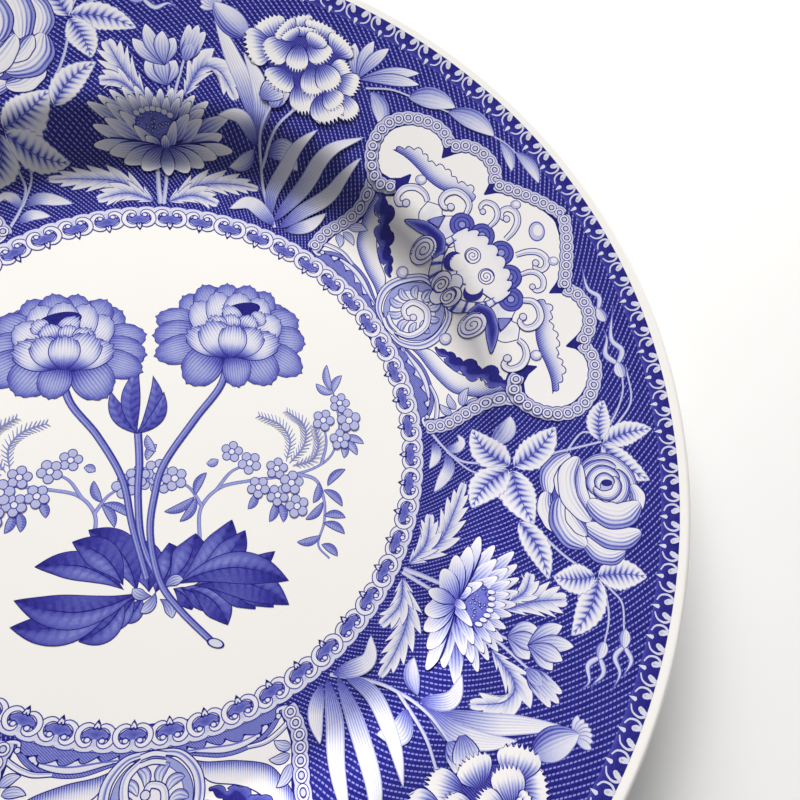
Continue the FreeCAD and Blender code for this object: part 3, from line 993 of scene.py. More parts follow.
LOTUS_SKIRT = [((18.6, -5.0), 3.6), ((-16.2, -5.0), 3.6), ((14.2, -6.2), 4.4), ((-12.6, -6.2), 4.4),
               ((10.4, -8.4), 5.0), ((-9.0, -8.2), 5.0), ((6.2, -9.8), 5.4), ((-4.4, -9.6), 5.4),
               ((1.6, -10.6), 3.8)]


def lotus(sheet, spot):
    """An open flower seen from the side: pointed rows above, a seeded dome and drooping petals."""
    pointed = dict(dome=0.55, neck=0.34, belly=0.5, columns=11, cell=0.45, lines=2.5, outline=1.15,
                   tone=lambda s, t: 0.6 - 0.62 * s**0.7 + 0.18 * np.clip(t, 0, 1) ** 2,
                   hatching=lambda s, t: 0.36 * (1 - s) ** 1.2)
    for petals, inner in ((LOTUS_BACK, 0.5), (LOTUS_FRONT, 0.5), (LOTUS_SIDES, 0.3)):
        for tip, width in petals:
            root = LOTUS_ROOT + (np.array(tip) - LOTUS_ROOT) * inner
            sheet.petal(spot(root), spot(tip), width, **pointed)
    turn = np.linspace(0, 2 * math.pi, 26, endpoint=False)
    dome = np.column_stack([-0.6 + 4.8 * np.cos(turn), 0.4 + 2.9 * np.sin(turn)])
    sheet.cut_out(spot(dome), tone=lambda x, y, edge: 0.5 + 0.2 * np.exp(-edge * 1.4), cell=0.7, outline=0.9)
    draw = random.Random(11)
    for count in range(34):
        size, turn = math.sqrt(draw.random()) * 0.88, draw.uniform(0, 2 * math.pi)
        place = spot((-0.6 + 4.8 * size * math.cos(turn), 0.4 + 2.9 * size * math.sin(turn)))
        sheet.dot(place, 0.42, sides=9, squash=0.6, tilt=turn, tone=0.85)
        sheet.dot(place, 0.22, sides=9, squash=0.6, tilt=turn, tone=0.3)
    for count in range(7):
        place = spot((-4.6 + 1.35 * count, 2.1 + 1.3 * math.sin(math.pi * (count + 0.5) / 7)))
        sheet.dot(place, 0.86, sides=14, squash=0.66, tone=0.7)
        sheet.dot(place, 0.72, sides=14, squash=0.66, tone=0.12)
    for petal_tip, width in (((-6.0, 0.4), 3.0), ((4.8, 1.6), 3.0), ((-3.6, -1.0), 3.2), ((1.7, -0.4), 2.6)):
        sheet.petal(spot(LOTUS_ROOT + (0.18 * petal_tip[0] - 0.4, 0)), spot(petal_tip), width, **pointed)
    rounded = dict(pointed, dome=0.3, belly=0.66, lines=4)
    for tip, width in LOTUS_SKIRT:
        root = LOTUS_ROOT + (0.1 * tip[0], 0.1)
        sheet.petal(spot(root), spot(tip), width, curl=-0.02 * tip[0], **rounded)


def tulip(sheet, root, tips, width):
    """A few long pointed petals that spread from one foot."""
    root = np.asarray(root).ravel()
    for tip in tips:
        tip = np.asarray(tip).ravel()
        sheet.ribbon(
            bent(root, tip, 0.05, 5), leaf_width(width, 0.58), cell=0.5, columns=9, lines=2.5, outline=0.9,
            tone=lambda s, t: 0.5 - 0.5 * s**0.7 + 0.06 * t**2, hatching=lambda s, t: 0.28 * (1 - s) ** 0.8,
        )


def crowned_bud(sheet, root, tip, width):
    """A round fruit with a toothed crown."""
    root, tip = np.asarray(root).ravel(), np.asarray(tip).ravel()
    reach = tip - root
    side = np.array([reach[1], -reach[0]]) / np.linalg.norm(reach)
    for k in range(7):
        lean = (k - 3) / 3
        sheet.ribbon(
            [root + reach * 0.68, tip + side * lean * width * 0.55 - reach * 0.12 * lean**2],
            leaf_width(1.9, 0.6), tone=fade(0.35, 0.05), cell=0.5, columns=5, outline=0.4,
        )
    sheet.ribbon(
        bent(root, root + reach * 0.78, 0.03, 5), lambda s: 0.4 + width * np.sin(np.pi * s**0.85) ** 0.7,
        cell=0.5, columns=11, lines=4, outline=0.5,
        tone=lambda s, t: 0.08 + 0.35 * np.maximum(0, t) + 0.3 * (1 - s) ** 2,
        hatching=lambda s, t: 0.3 * np.maximum(0, t + 0.4),
    )


def rim_spray(which, turn, material):
    """The flowers that grow from the well between two panels."""
    sheet = roses = Print(f"rose_branch_{which}", material)
    at = lambda *places: np.array([rim_place(a + turn, r) for a, r in places])
    one = lambda a, r: rim_place(a + turn, r)

    # Rose branch, with its leaves in threes and fours.
    stem(sheet, at((4.8, 67.9), (1.1, 71.4), (-1.4, 75.7), (-1.9, 80.4), (-2.2, 86.5)))
    stem(sheet, at((0.5, 71.8), (-2.9, 77.3), (-3.8, 81), (-3.2, 86)), 0.6)
    stem(sheet, at((-1.6, 91.5), (-0.5, 97.6), (0.2, 103.0), (1.0, 110.0)))
    stem(sheet, at((-0.3, 100.7), (2.4, 105.4), (1.6, 110)), 0.6)
    stem(sheet, at((-11.0, 91.5), (-12.6, 94.5), (-15.2, 101.8), (-16.6, 109)))
    stem(sheet, at((1.4, 110.5), (3.7, 115.6), (6.3, 119.6), (10.4, 120.2)), 0.6)
    stem(sheet, at((1.4, 110.0), (4.8, 115.0), (7.4, 117.8), (9.4, 118.6)), 0.6)
    stem(sheet, at((-16.6, 110.5), (-17.8, 114.2), (-19.0, 117.4), (-21.8, 119.1)), 0.6)
    stem(sheet, at((-17.0, 111), (-19.4, 113.8), (-21.5, 115.1), (-24.0, 115.4)), 0.6)
    blade_leaf(sheet, at((1.3, 71.6), (1.1, 74.5), (2.4, 76.3), (4.0, 75.2)), 2.6)
    blade_leaf(sheet, at((-0.1, 71.7), (-2.9, 72.4), (-6.0, 70.5), (-8.5, 68.7)), 3.4)
    blade_leaf(sheet, at((2.6, 68.3), (-0.3, 68.9), (-3.5, 67.0)), 2.8)
    plain_leaf(sheet, one(1.2, 83.6), one(6.0, 87.7), 4.2, -0.1)
    rose_leaf(sheet, one(-2.6, 87.6), one(3.5, 98.5), 8.2, -0.07)
    rose_leaf(sheet, one(-3.4, 87.2), one(-11.7, 92.9), 8.0, -0.05)
    rose_leaf(sheet, one(-2.5, 86.6), one(4.8, 79.4), 7.2, 0.08)
    rose_leaf(sheet, one(-3.2, 86.4), one(-10.5, 79.4), 7.8, -0.08)
    rose_leaf(sheet, one(0.8, 110.6), one(2.4, 123.7), 6.4)
    rose_leaf(sheet, one(0.6, 110.2), one(-3.9, 121.9), 6.6, -0.06)
    rose_leaf(sheet, one(1.2, 109.8), one(6.6, 112.3), 6.4, 0.08)
    rose_leaf(sheet, one(-16.6, 110.4), one(-15.2, 122.2), 7.6, 0.05)
    rose_leaf(sheet, one(-17.0, 110.6), one(-24.7, 107.6), 7.0, 0.08)
    rose_leaf(sheet, one(-16.7, 109.6), one(-18.4, 99.8), 7.2, 0.06)
    rose_leaf(sheet, one(-11.7, 89.4), one(-18.9, 98.8), 6.4, 0.08)
    rose_hip(sheet, one(9.2, 118.6), one(10.3, 118.4), [one(16.2, 117.4), one(18.6, 122.4)])
    rose_hip(sheet, one(16.9, 118.6), one(18.0, 118.2), [one(22.8, 117.2), one(25.2, 119.2)], 0.9)
    rose_hip(sheet, one(-21.6, 119.4), one(-22.8, 119.8), [one(-26.6, 122.2), one(-28.6, 120.2)], 0.85)
    rose_hip(sheet, one(-23.8, 115.4), one(-25.0, 115.3), [one(-29.4, 116.0), one(-30.2, 113.2)], 0.85)
    rose(sheet, Spot(-7.4 + turn, 107.2))

    # The lotus, on two stems between cut leaves, with buds behind it.
    sheet = lotuses = Print(f"lotus_spray_{which}", material, under=roses)
    stem(sheet, at((-26.3, 66.2), (-25.9, 71), (-25.7, 78)), 1.3)
    stem(sheet, at((-26.9, 66.2), (-27.3, 71), (-27.6, 77)), 1.1)
    acanthus_leaf(sheet, at((-24.9, 67.2), (-18.6, 72.6), (-11.6, 74.9), (-5.2, 77.0)), 5.4, 7)
    acanthus_leaf(sheet, at((-24.9, 66.9), (-19.5, 69.4), (-13.0, 68.5)), 4.6, 5)
    acanthus_leaf(sheet, at((-27.9, 67.2), (-34.0, 72.6), (-40.4, 74.9), (-46.2, 75.9)), 5.4, 7)
    acanthus_leaf(sheet, at((-27.9, 66.9), (-33.0, 69.4), (-38.9, 68.1)), 4.6, 5)
    acanthus_leaf(sheet, at((-25.2, 91.0), (-22.6, 96.5), (-20.6, 104.4)), 6.0, 5)
    acanthus_leaf(sheet, at((-24.0, 91.0), (-21.6, 94.0), (-18.7, 94.2)), 4.0, 4)
    acanthus_leaf(sheet, at((-31.2, 91.5), (-33.4, 99.5), (-36.2, 99.2), (-39.4, 92.6)), 5.4, 6)
    stem(sheet, at((-28.6, 89), (-28.9, 92), (-28.6, 95.5)), 0.8)
    stem(sheet, at((-29.6, 89), (-29.9, 93), (-31.0, 101.5)), 0.8)
    tulip(sheet, one(-28.6, 93.4), [one(-25.6, 99.6), one(-29.8, 100.4), one(-27.7, 101.6)], 4.2)
    tulip(sheet, one(-28.3, 98.6),
          [one(-24.0, 105.0), one(-29.6, 106.2), one(-25.8, 109.0), one(-28.0, 107.6)], 4.0)
    calyx_bud(sheet, one(-31.0, 100.4), one(-32.6, 110.6), 6.2)
    lotus(sheet, Spot(-26.6 + turn, 84.6))

    # Long blades, the carnation and its bud.
    sheet = Print(f"carnation_spray_{which}", material, under=roses)
    blade_leaf(sheet, at((-43.4, 87.4), (-40.0, 97.5), (-37.2, 105.0), (-34.4, 114.0)), 4.6)
    blade_leaf(sheet, at((-43.6, 85.5), (-43.3, 94.0), (-41.2, 101.0), (-38.9, 106.0)), 4.6)
    blade_leaf(sheet, at((-43.6, 85.1), (-40.3, 89.4), (-36.6, 88.6)), 3.4)
    plain_leaf(sheet, one(-43.3, 84.4), one(-39.2, 79.4), 3.6)
    crowned_bud(sheet, one(-39.0, 110.4), one(-33.0, 119.2), 6.8)
    stem(sheet, at((-52.2, 66.7), (-47.2, 74.9), (-45.2, 81.2), (-44.0, 87.4), (-44.6, 94.5)), 0.9)
    stem(sheet, at((-45.2, 81.0), (-46.3, 89.0), (-48.2, 95.6)), 0.9)
    blade_leaf(sheet, at((-45.8, 84.6), (-48.8, 86.0), (-51.9, 83.6)), 3.8)
    blade_leaf(sheet, at((-50.2, 69.0), (-48.6, 76.8), (-50.0, 85.0), (-52.8, 93.0)), 3.9)
    blade_leaf(sheet, at((-51.3, 68.2), (-53.6, 79.4), (-56.0, 89.4), (-59.8, 97.4)), 4.2)
    blade_leaf(sheet, at((-53.2, 67.1), (-56.2, 75.4), (-59.4, 83.4), (-61.2, 92.2)), 4.3)
    blade_leaf(sheet, at((-54.6, 67.1), (-58.4, 71.6), (-60.2, 77.8)), 3.6)
    blade_leaf(sheet, at((-51.8, 67.2), (-45.4, 70.9), (-41.2, 67.6)), 4.2)
    calyx_bud(sheet, one(-44.7, 93.6), one(-45.6, 101.0), 5.8)
    tulip(sheet, one(-54.8, 110.6),
          [one(-52.4, 119.8), one(-54.5, 122.8), one(-56.6, 123.0), one(-61.6, 121.6),
                                     one(-62.4, 118.8)], 3.6)
    blossom = Spot(-48.6 + turn, 105.4)
    sheet.petal(blossom((-9.6, -10.6)), blossom((-5.6, -4.2)), 6.6, ruffle=0.1, frills=5.0, neck=0.22,
                belly=0.85, columns=21, cell=0.5, lines=4, outline=1.1, tone=fade(0.5, 0.02),
                hatching=lambda s, t: 0.3 * (1 - s))
    carnation(sheet, blossom)
    plain_leaf(sheet, one(-57.3, 109.6), one(-61.0, 102.6), 4.6, 0.14)
    stem(sheet, at((-56.4, 109.6), (-59.4, 112.9), (-62.2, 114.4), (-67.6, 117.4)), 0.6)
    stem(sheet, at((-73.0, 120.0), (-75.6, 121.9), (-78.4, 122.4)), 0.5)
    plain_leaf(sheet, one(-62.1, 113.8), one(-67.9, 119.6), 6.0, 0.1)
    plain_leaf(sheet, one(-67.6, 117.4), one(-74.2, 121.0), 5.6, 0.1)
    plain_leaf(sheet, one(-75.4, 121.2), one(-79.2, 117.8), 3.0, 0.1)
    plain_leaf(sheet, one(-77.6, 122.4), one(-82.7, 121.6), 3.4, 0.1)
    return [part.make(f"spray_print_{which}") for part in (roses, lotuses, sheet)]


# --- the white panels -----------------------------------------------------------------------------

PANEL_MARK = 94.0        # the radius that a panel's own drawing is measured from
BEAD_PITCH = 2.75
PALE, WHITE = 0.14, 0.0


def in_panel(*places):
    """Points given by angle and radius, in a panel's own upright frame."""
    return [(r * math.sin(math.radians(a)), r * math.cos(math.radians(a)) - PANEL_MARK) for a, r in places]


# Half of each outline, from the panel's upright outwards, as angles and radii.
CHAIN = [
    in_panel((0, 122.0), (3.0, 119.0), (6.0, 115.4), (8.9, 111.7)),
    in_panel((8.9, 111.7), (10.2, 114.2), (12.6, 115.4), (15.2, 114.0), (17.1, 110.4)),
    in_panel((17.1, 110.4), (19.0, 112.1), (21.5, 111.8), (24.6, 108.8), (26.4, 104.0), (26.5, 98.0),
             (25.1, 93.0), (22.8, 90.0), (20.8, 90.0), (19.4, 91.6)),
    in_panel((23.2, 90.2), (22.6, 84.3), (23.8, 78.8), (25.6, 72.8), (25.9, 66.6)),
]
WHITE_HALF = [
    in_panel((0, 119.2), (2.6, 117.6), (5.4, 114.8), (7.5, 111.4), (8.7, 107.6)),
    in_panel((8.7, 107.6), (9.5, 111.0), (11.0, 113.4), (12.9, 113.9), (15.2, 112.0), (16.9, 106.4)),
    in_panel((16.9, 106.4), (18.2, 109.9), (20.9, 110.5), (23.6, 108.0), (25.5, 103.4), (25.6, 98.0),
             (24.3, 93.6), (22.4, 91.9), (20.9, 92.3), (19.7, 93.9), (18.8, 96.8)),
    in_panel((18.8, 96.8), (18.3, 94.6), (18.0, 92.4), (18.2, 90.2), (19.8, 88.5), (21.7, 86.9),
             (21.0, 84.2), (22.1, 79.2), (23.9, 73.6), (24.3, 66.0)),
]


def mirrored(curves, count=16):
    """A closed outline from the curves of its right half."""
    half = np.vstack([smooth(curve, count)[:-1] for curve in curves] + [np.array(curves[-1][-1:])])
    return np.vstack([half, (half * (-1, 1))[::-1][:-1]])


def bead_chain(sheet, spot, curve):
    """A scalloped strip of ringed beads."""
    length = length_of(smooth(curve, 60))
    count = max(2, round(length / BEAD_PITCH))
    scallop = lambda s: 3.5 + 0.7 * abs(np.sin(np.pi * (s * count))) ** 0.7
    sheet.ribbon(spot(smooth(curve, 40)), scallop, tone=PALE + 0.05, outline=1.0, cell=0.35, columns=9)
    spine = smooth(curve, count * 2 + 1)[1::2]
    for middle in spot(spine):
        sheet.dot(middle, 1.42, sides=18, tone=0.78)
        sheet.dot(middle, 1.24, sides=18, tone=0.06)
        sheet.dot(middle, 0.84, sides=14, tone=0.85)
        sheet.dot(middle, 0.56, sides=12, tone=0.2)


def pearl(sheet, middle, radius, squash):
    """A shaded bead with a light off its middle."""
    sheet.dot(middle, radius, sides=22, squash=squash, tone=0.62)
    sheet.dot(middle, radius * 0.86, sides=22, squash=squash, tone=0.22)
    sheet.dot(np.ravel(middle) + radius * 0.14, radius * 0.56, sides=18, squash=squash, tone=0.04)


def coil(sheet, spot, middle, radius, side=1, turns=2.2, start=0.0, tone=0.02):
    """A white disc with a drawn spiral."""
    middle = np.asarray(middle, float)
    share = np.linspace(0, 1, int(14 * turns))
    turn = side * (2 * math.pi * turns * share + start)
    reach = radius * 0.88 * (1 - 0.9 * share)
    line = middle + reach[:, None] * np.column_stack([np.cos(turn), np.sin(turn)])
    sheet.dot(spot(middle), radius, sides=28, tone=tone, outline=1.0)
    sheet.ribbon(spot(line), lambda s: 0.34 - 0.1 * s, tone=0.72, cell=0.4, columns=2)


def volute(sheet, spot, points, width=1.7):
    """A scroll that curls in on itself, shaded along one edge."""
    sheet.ribbon(
        spot(points), lambda s: width * (0.9 + 0.3 * np.sin(np.pi * np.minimum(s * 1.1, 1))), cell=0.45,
        columns=9,
        tone=lambda s, t: 0.05 + 0.42 * np.maximum(0, 0.25 - abs(t + 0.3)) * 4 * (1 - 0.6 * s), outline=1.05,
    )
    end = np.asarray(points[-1], float)
    sheet.dot(spot(end), width * 0.62, sides=14, tone=0.12, outline=1.0)


def scale_fan(sheet, spot, middle, radius=3.5):
    """A dark half disc of three rings."""
    middle = np.asarray(middle, float)
    for share, tone in ((1.0, 0.86), (0.9, 0.6), (0.66, 0.84), (0.57, 0.55), (0.34, 0.85), (0.24, 0.35)):
        sheet.dot(spot(middle), radius * share, sides=30, tone=tone)


def toothed(points, count, height, teeth, lean=0.35):
    """A smooth curve whose left side stands out in rounded teeth."""
    line = smooth(points, count)
    heading = np.gradient(line, axis=0)
    heading /= np.linalg.norm(heading, axis=1)[:, None]
    side = np.column_stack([-heading[:, 1], heading[:, 0]])
    share = np.linspace(0, 1, count)
    rise = abs(np.sin(np.pi * share * teeth)) ** 0.7 * height
    return line + side * rise[:, None] + heading * (lean * rise)[:, None]


def plume(sheet, spot, side):
    """A ruffled plume, blue along its back."""
    flip = np.array([side, 1])
    back = smooth([(39.6, -3.0), (35.9, -1.0), (31.5, 0.2), (27.6, 0.9), (23.3, 2.8), (19.6, 6.2),
                   (16.1, 7.8)], 30)
    frill = toothed([(16.1, 8.2), (19.6, 10.0), (23.0, 7.6), (27.8, 6.6), (31.4, 3.9), (35.6, 3.2),
                     (39.2, -2.2)],
                    96, 1.0, 11)
    back_depth = lambda x, y: inside_by(np.column_stack([x, y]), np.vstack([spot(back * flip), spot(
        [(16.1 * side, -12), (39.6 * side, -16)])]))
    shape = spot(np.vstack([back, frill]) * flip)
    sheet.cut_out(
        shape, cell=0.62, outline=1.1,
        tone=lambda x, y, edge: 0.58 * np.exp(-(np.maximum(0, -back_depth(x, y)) / 1.9) ** 1.3),
        hatching=lambda x, y, edge: 0.28 * np.exp(-(np.maximum(0, -back_depth(x, y)) / 2.8) ** 2),
        phase=lambda x, y, edge: (x * spot.across[0] + y * spot.across[1]) / 0.55,
    )


def wing_leaf(sheet, spot, side):
    """A long side leaf with a dark toothed heart."""
    flip = np.array([side, 1])
    outer = smooth([(32.4, -11.6), (30.6, -16.2), (27.9, -19.4), (24.3, -22.6), (17.5, -24.3), (11.2, -24.9),
                    (6.6, -26.3)], 40)
    inner = smooth([(6.6, -26.0), (9.6, -22.8), (12.3, -20.4), (18.0, -19.0), (22.8, -16.8), (26.6, -13.4),
                    (32.4, -11.6)], 40)
    shape = np.vstack([outer, inner[1:-1]]) * flip
    rim = spot(outer * flip)
    rim_gap = lambda x, y: np.sqrt(((np.column_stack([x, y])[:, None] - rim) ** 2).sum(2)).min(1)
    sheet.cut_out(
        spot(shape), cell=0.7, outline=1.1,
        tone=lambda x, y, edge: 0.5 * np.exp(-(rim_gap(x, y) / 1.5) ** 1.4),
        hatching=lambda x, y, edge: 0.34 * np.exp(-(rim_gap(x, y) / 2.6) ** 2),
        phase=lambda x, y, edge: (x * spot.across[0] + y * spot.across[1]) / 0.5,
    )
    heart = smooth([(32.2, -11.4), (27.0, -12.9), (22.2, -15.2), (17.0, -17.5), (11.4, -19.2)], 90)
    share = np.linspace(0, 1, 90)
    wave = np.sin(share * 2 * math.pi * 4) * np.sin(np.pi * share) ** 0.5
    lobed = heart + np.column_stack([0.35 * wave, wave]) * 0.95
    lobes = lambda s: (
        0.5 + (1.5 + 2.6 * abs(np.sin(2 * math.pi * 4 * s + 0.8)) ** 0.8) * np.sin(np.pi * s**0.85) ** 0.55
    )
    sheet.ribbon(spot(lobed[::2] * flip), lobes, cell=0.3, columns=11, outline=1.0, lines=3,
                 tone=lambda s, t: np.clip(0.9 - 0.4 * (t * flip[0] > 0.1) * (0.4 + 0.6 * abs(t)), 0, 1))


def scroll_ground(sheet, spot, side):
    """Half of the blue ground over the scroll border, with a pale cut leaf that curls over."""
    flip = np.array([side, 1])
    top = smooth([(0, -26.6), (6.6, -26.6), (14.4, -25.2), (20.6, -26.2), (25.4, -29.0), (28.4, -33.6)], 40)
    foot = np.array(in_panel(*[(a, 65.2) for a in np.linspace(24.6, 0, 20)]))
    sheet.cut_out(spot(np.vstack([top, foot]) * flip), cell=1.0, outline=0.9, tone=0.42, hatching=0.22,
                         phase=lambda x, y, edge: (x + y) / 0.6)
    leaf = np.vstack([
        smooth([(2.6, -27.4), (9.0, -26.8), (15.0, -26.0), (20.0, -26.9), (24.0, -29.2), (26.6, -32.6)], 40),
        toothed([(26.0, -33.2), (22.4, -30.9), (17.6, -29.6), (11.0, -29.4), (5.2, -28.6), (2.6, -27.8)], 60,
                -1.5, 6, 0.9),
    ])
    sheet.cut_out(
        spot(leaf * flip), cell=0.6, outline=1.0, tone=lambda x, y, edge: 0.02 + 0.06 * edge,
        hatching=lambda x, y, edge: 0.24 * np.maximum(0, 1 - edge), phase=lambda x, y, edge: (x - y) / 0.5,
    )
    sheet.stroke_line(spot(np.array([(3, -27.4), (10, -27.6), (17, -27.6), (22.4, -29.0)]) * flip), 0.4, 0.5)
    curl = [(20.0, -26.6), (24.0, -27.2), (27.4, -29.2), (29.6, -31.6), (29.0, -33.8), (26.8, -33.6),
            (26.9, -32.2)]
    volute(sheet, spot, np.array(curl) * flip, 1.2)


def medallion(sheet, spot):
    """A round of scrolls and cut leaves between the two arms of a tied ring."""
    middle = np.array((0, -19.0))
    sheet.dot(spot(middle), 8.6, sides=40, tone=0.34, outline=0.9)
    sheet.dot(spot(middle + (0, -0.4)), 6.6, sides=36, tone=0.05, outline=0.6)
    for side in (-1, 1):
        flip = np.array([side, 1])
        for turn in (28, 62, 96, 132, 166, 200):
            way = np.array([math.sin(math.radians(180 - turn)), math.cos(math.radians(180 - turn))])
            root = (middle + way * 7.6) * flip
            tip = (middle + way * 3.4) * flip + (0, 0.7)
            sheet.ribbon(spot(bent(root, tip, 0.25 * side, 5)), leaf_width(2.4, 0.45), cell=0.4, columns=7,
                                outline=1.0, tone=fade(0.3, 0.03), lines=1.5, hatching=0.25)
        arm = [(0.6, -28.2), (5.6, -27.2), (9.2, -23.0), (9.6, -17.4), (7.0, -12.2), (2.8, -10.6)]
        sheet.ribbon(
            spot(np.array(arm) * flip), lambda s: 1.3 + 1.1 * np.sin(np.pi * s), cell=0.5, columns=11,
            outline=1.0,
            tone=lambda s, t: 0.10 + 0.5 * np.maximum(0, 1 - abs(t - 0.15) * 4), lines=1, hatching=0.1,
        )
    curl = [(1.6, -27.2), (5.4, -23.6), (5.2, -18.4), (1.6, -15.6), (-2.2, -17.4), (-2.2, -20.8),
            (0.4, -21.8), (1.4, -20.0)]
    volute(sheet, spot, curl, 1.8)
    for height in (-26.4, -28.0):
        sheet.ribbon(spot([(-2.6, height + 0.5), (0, height), (2.6, height + 0.5)]), 1.4, tone=0.08, cell=0.5,
                            columns=7, outline=1.1)


def shell_and_horns(sheet, spot):
    """The middle of a panel: fans over a white shell, with coils, horns and dark side leaves."""
    for side in (-1, 1):
        flip = np.array([side, 1])
        edge_line = [(22.7, -2.2), (19.4, 0.4), (17.2, -0.6), (15.4, 2.0), (13.4, 3.6), (9.0, 2.0),
                     (8.4, -3.8), (14.0, -7.4), (20.6, -6.4)]
        sheet.cut_out(spot(smooth(edge_line + edge_line[:1], 46)[:-1] * flip), cell=0.9, outline=1.0,
                             tone=lambda x, y, edge: 0.03 * edge)
    for x, y in ((12.2, 2.4), (-12.2, 2.4), (6.8, 5.5), (-6.8, 5.5), (0, 7.3)):
        scale_fan(sheet, spot, (x, y))
    lobes = np.linspace(-1, 1, 181)
    shell = np.column_stack([
        11.4 * np.sin(lobes * 1.75),
        -4.0 + 9.9 * np.cos(lobes * 1.32) + 1.5 * abs(np.sin(lobes * math.pi * 5)) ** 0.6
    ])
    shell = np.vstack([shell, [(6, -3.6), (2.6, -5.2), (0, -7.2), (-2.6, -5.2), (-6, -3.6)]])
    sheet.cut_out(spot(shell), cell=0.8, outline=1.1,
                  tone=lambda x, y, edge: 0.02 + 0.10 * np.exp(-edge * 1.2))
    for side in (-1, 1):
        flip = np.array([side, 1])
        sheet.dot(spot(np.array((5.0, -4.8)) * flip), 2.5, sides=24, tone=0.86, outline=0.9)
        sheet.dot(spot(np.array((3.9, -3.9)) * flip), 2.2, sides=20, tone=0.02)
        coil(sheet, spot, np.array((3.4, 0.2)) * flip, 2.3, side, start=1.0)
        horn = [(2.2, -9.4), (5.2, -9.4), (8.0, -7.4), (10.0, -4.2), (10.2, -1.2)]
        sheet.ribbon(
            spot(np.array(horn) * flip), lambda s: 3.6 - 1.8 * s, cell=0.35, columns=7, outline=1.0,
            tone=lambda s, t: 0.05 + 0.62 * (np.sin(s * 5.5 * 2 * np.pi) > 0.82) + 0.12 * (t < -0.3),
        )
        fish = [(8.2, -5.4), (11.6, -3.4), (15.2, -4.0), (18.4, -5.6), (22.0, -9.8), (17.6, -8.6),
                (14.6, -7.4), (11.4, -7.8), (8.8, -8.4)]
        sheet.cut_out(spot(smooth(fish + fish[:1], 50)[:-1] * flip), cell=0.6, outline=1.0,
                             tone=lambda x, y, edge: np.minimum(0.3 + 0.42 * edge, 0.86))
        fin = [(14.6, -3.6), (16.8, 0.0), (17.8, -3.0), (18.2, -5.2)]
        sheet.cut_out(spot(np.array(fin) * flip), cell=0.6, outline=1.0, tone=0.45)
        coil(sheet, spot, np.array((12.4, -9.0)) * flip, 3.3, side, 2.6, 2.0, 0.08)
    for x, y, radius in ((0, -7.4, 2.3), (-2.6, -9.2, 2.4), (2.6, -9.2, 2.4), (0, -11.2, 2.3)):
        sheet.dot(spot((x, y)), radius, sides=24, tone=0.1, outline=1.0)
    for side in (-1, 1):
        coil(sheet, spot, (1.9 * side, -9.6), 1.9, side, 1.8, 0.5, 0.03)


def rim_panel(which, turn, material):
    """A white scalloped panel in its chain of beads."""
    sheet = drawing = Print(f"panel_drawing_{which}", material)
    spot = Spot(turn, PANEL_MARK)
    sheet.cut_out(spot(mirrored(CHAIN[:2] + [CHAIN[2][:-3]] + [CHAIN[3]])), cell=3.0, tone=0.95)
    sheet.top += 3
    sheet.cut_out(spot(mirrored(WHITE_HALF)), cell=2.2, tone=WHITE, outline=1.1)
    for side in (-1, 1):
        scroll_ground(sheet, spot, side)
        wing_leaf(sheet, spot, side)
        plume(sheet, spot, side)
        flip = np.array([side, 1])
        for root, tip, width in (((29.6, -22.0), (26.2, -17.8), 2.6), ((29.4, -24.0), (24.6, -23.4), 2.4),
                                 ((29.8, -25.6), (25.8, -27.2), 2.4), ((30.6, -21.0), (30.4, -17.2), 2.0)):
            sheet.ribbon(spot(bent(np.array(root) * flip, np.array(tip) * flip, 0.12, 5)), leaf_width(width),
                                cell=0.5, columns=7, outline=1.0, tone=fade(0.3, 0.06), lines=2, hatching=0.2)
    medallion(sheet, spot)
    shell_and_horns(sheet, spot)
    for side in (-1, 1):
        flip = np.array([side, 1])
        volute(sheet, spot, np.array([(2.6, 10.4), (3.4, 13.4), (5.0, 15.9), (7.4, 16.9), (9.4, 15.9),
                                      (9.8, 14.0), (8.4, 12.9), (7.3, 13.8)]) * flip)
        volute(sheet, spot, np.array([(7.9, 8.6), (8.5, 11.0), (10.0, 12.6), (12.3, 12.9), (14.2, 11.4),
                                      (13.9, 9.5), (12.4, 9.3)]) * flip, 1.5)
        volute(sheet, spot, np.array([(14.2, 5.0), (15.8, 7.0), (18.2, 7.4), (20.8, 6.2), (21.8, 3.6),
                                      (20.9, 1.2), (18.8, 0.8), (18.0, 2.4)]) * flip, 1.8)
        volute(sheet, spot, np.array([(22.6, -2.2), (24.8, -1.8), (27.4, -2.9), (28.8, -5.6), (28.1, -8.4),
                                      (26.2, -9.0), (25.2, -7.4)]) * flip, 1.8)
        pearl(sheet, spot(np.array((9.4, 18.2)) * flip), 1.5, 0.85)
        pearl(sheet, spot(np.array((28.6, -0.6)) * flip), 1.6, 0.9)
        pearl(sheet, spot(np.array((11.2, -15.6)) * flip), 1.7, 1.0)
    pearl(sheet, spot((0, 19.0)), 2.3, 1.25)
    sheet = Print(f"panel_bead_chain_{which}", material, under=drawing)
    for side in (-1, 1):
        for curve in (CHAIN[3], CHAIN[2], CHAIN[1], CHAIN[0]):
            bead_chain(sheet, spot, np.array(curve) * (side, 1))
    return [part.make(f"panel_print_{which}") for part in (drawing, sheet)]


# --- the bouquet in the well ----------------------------------------------------------------------


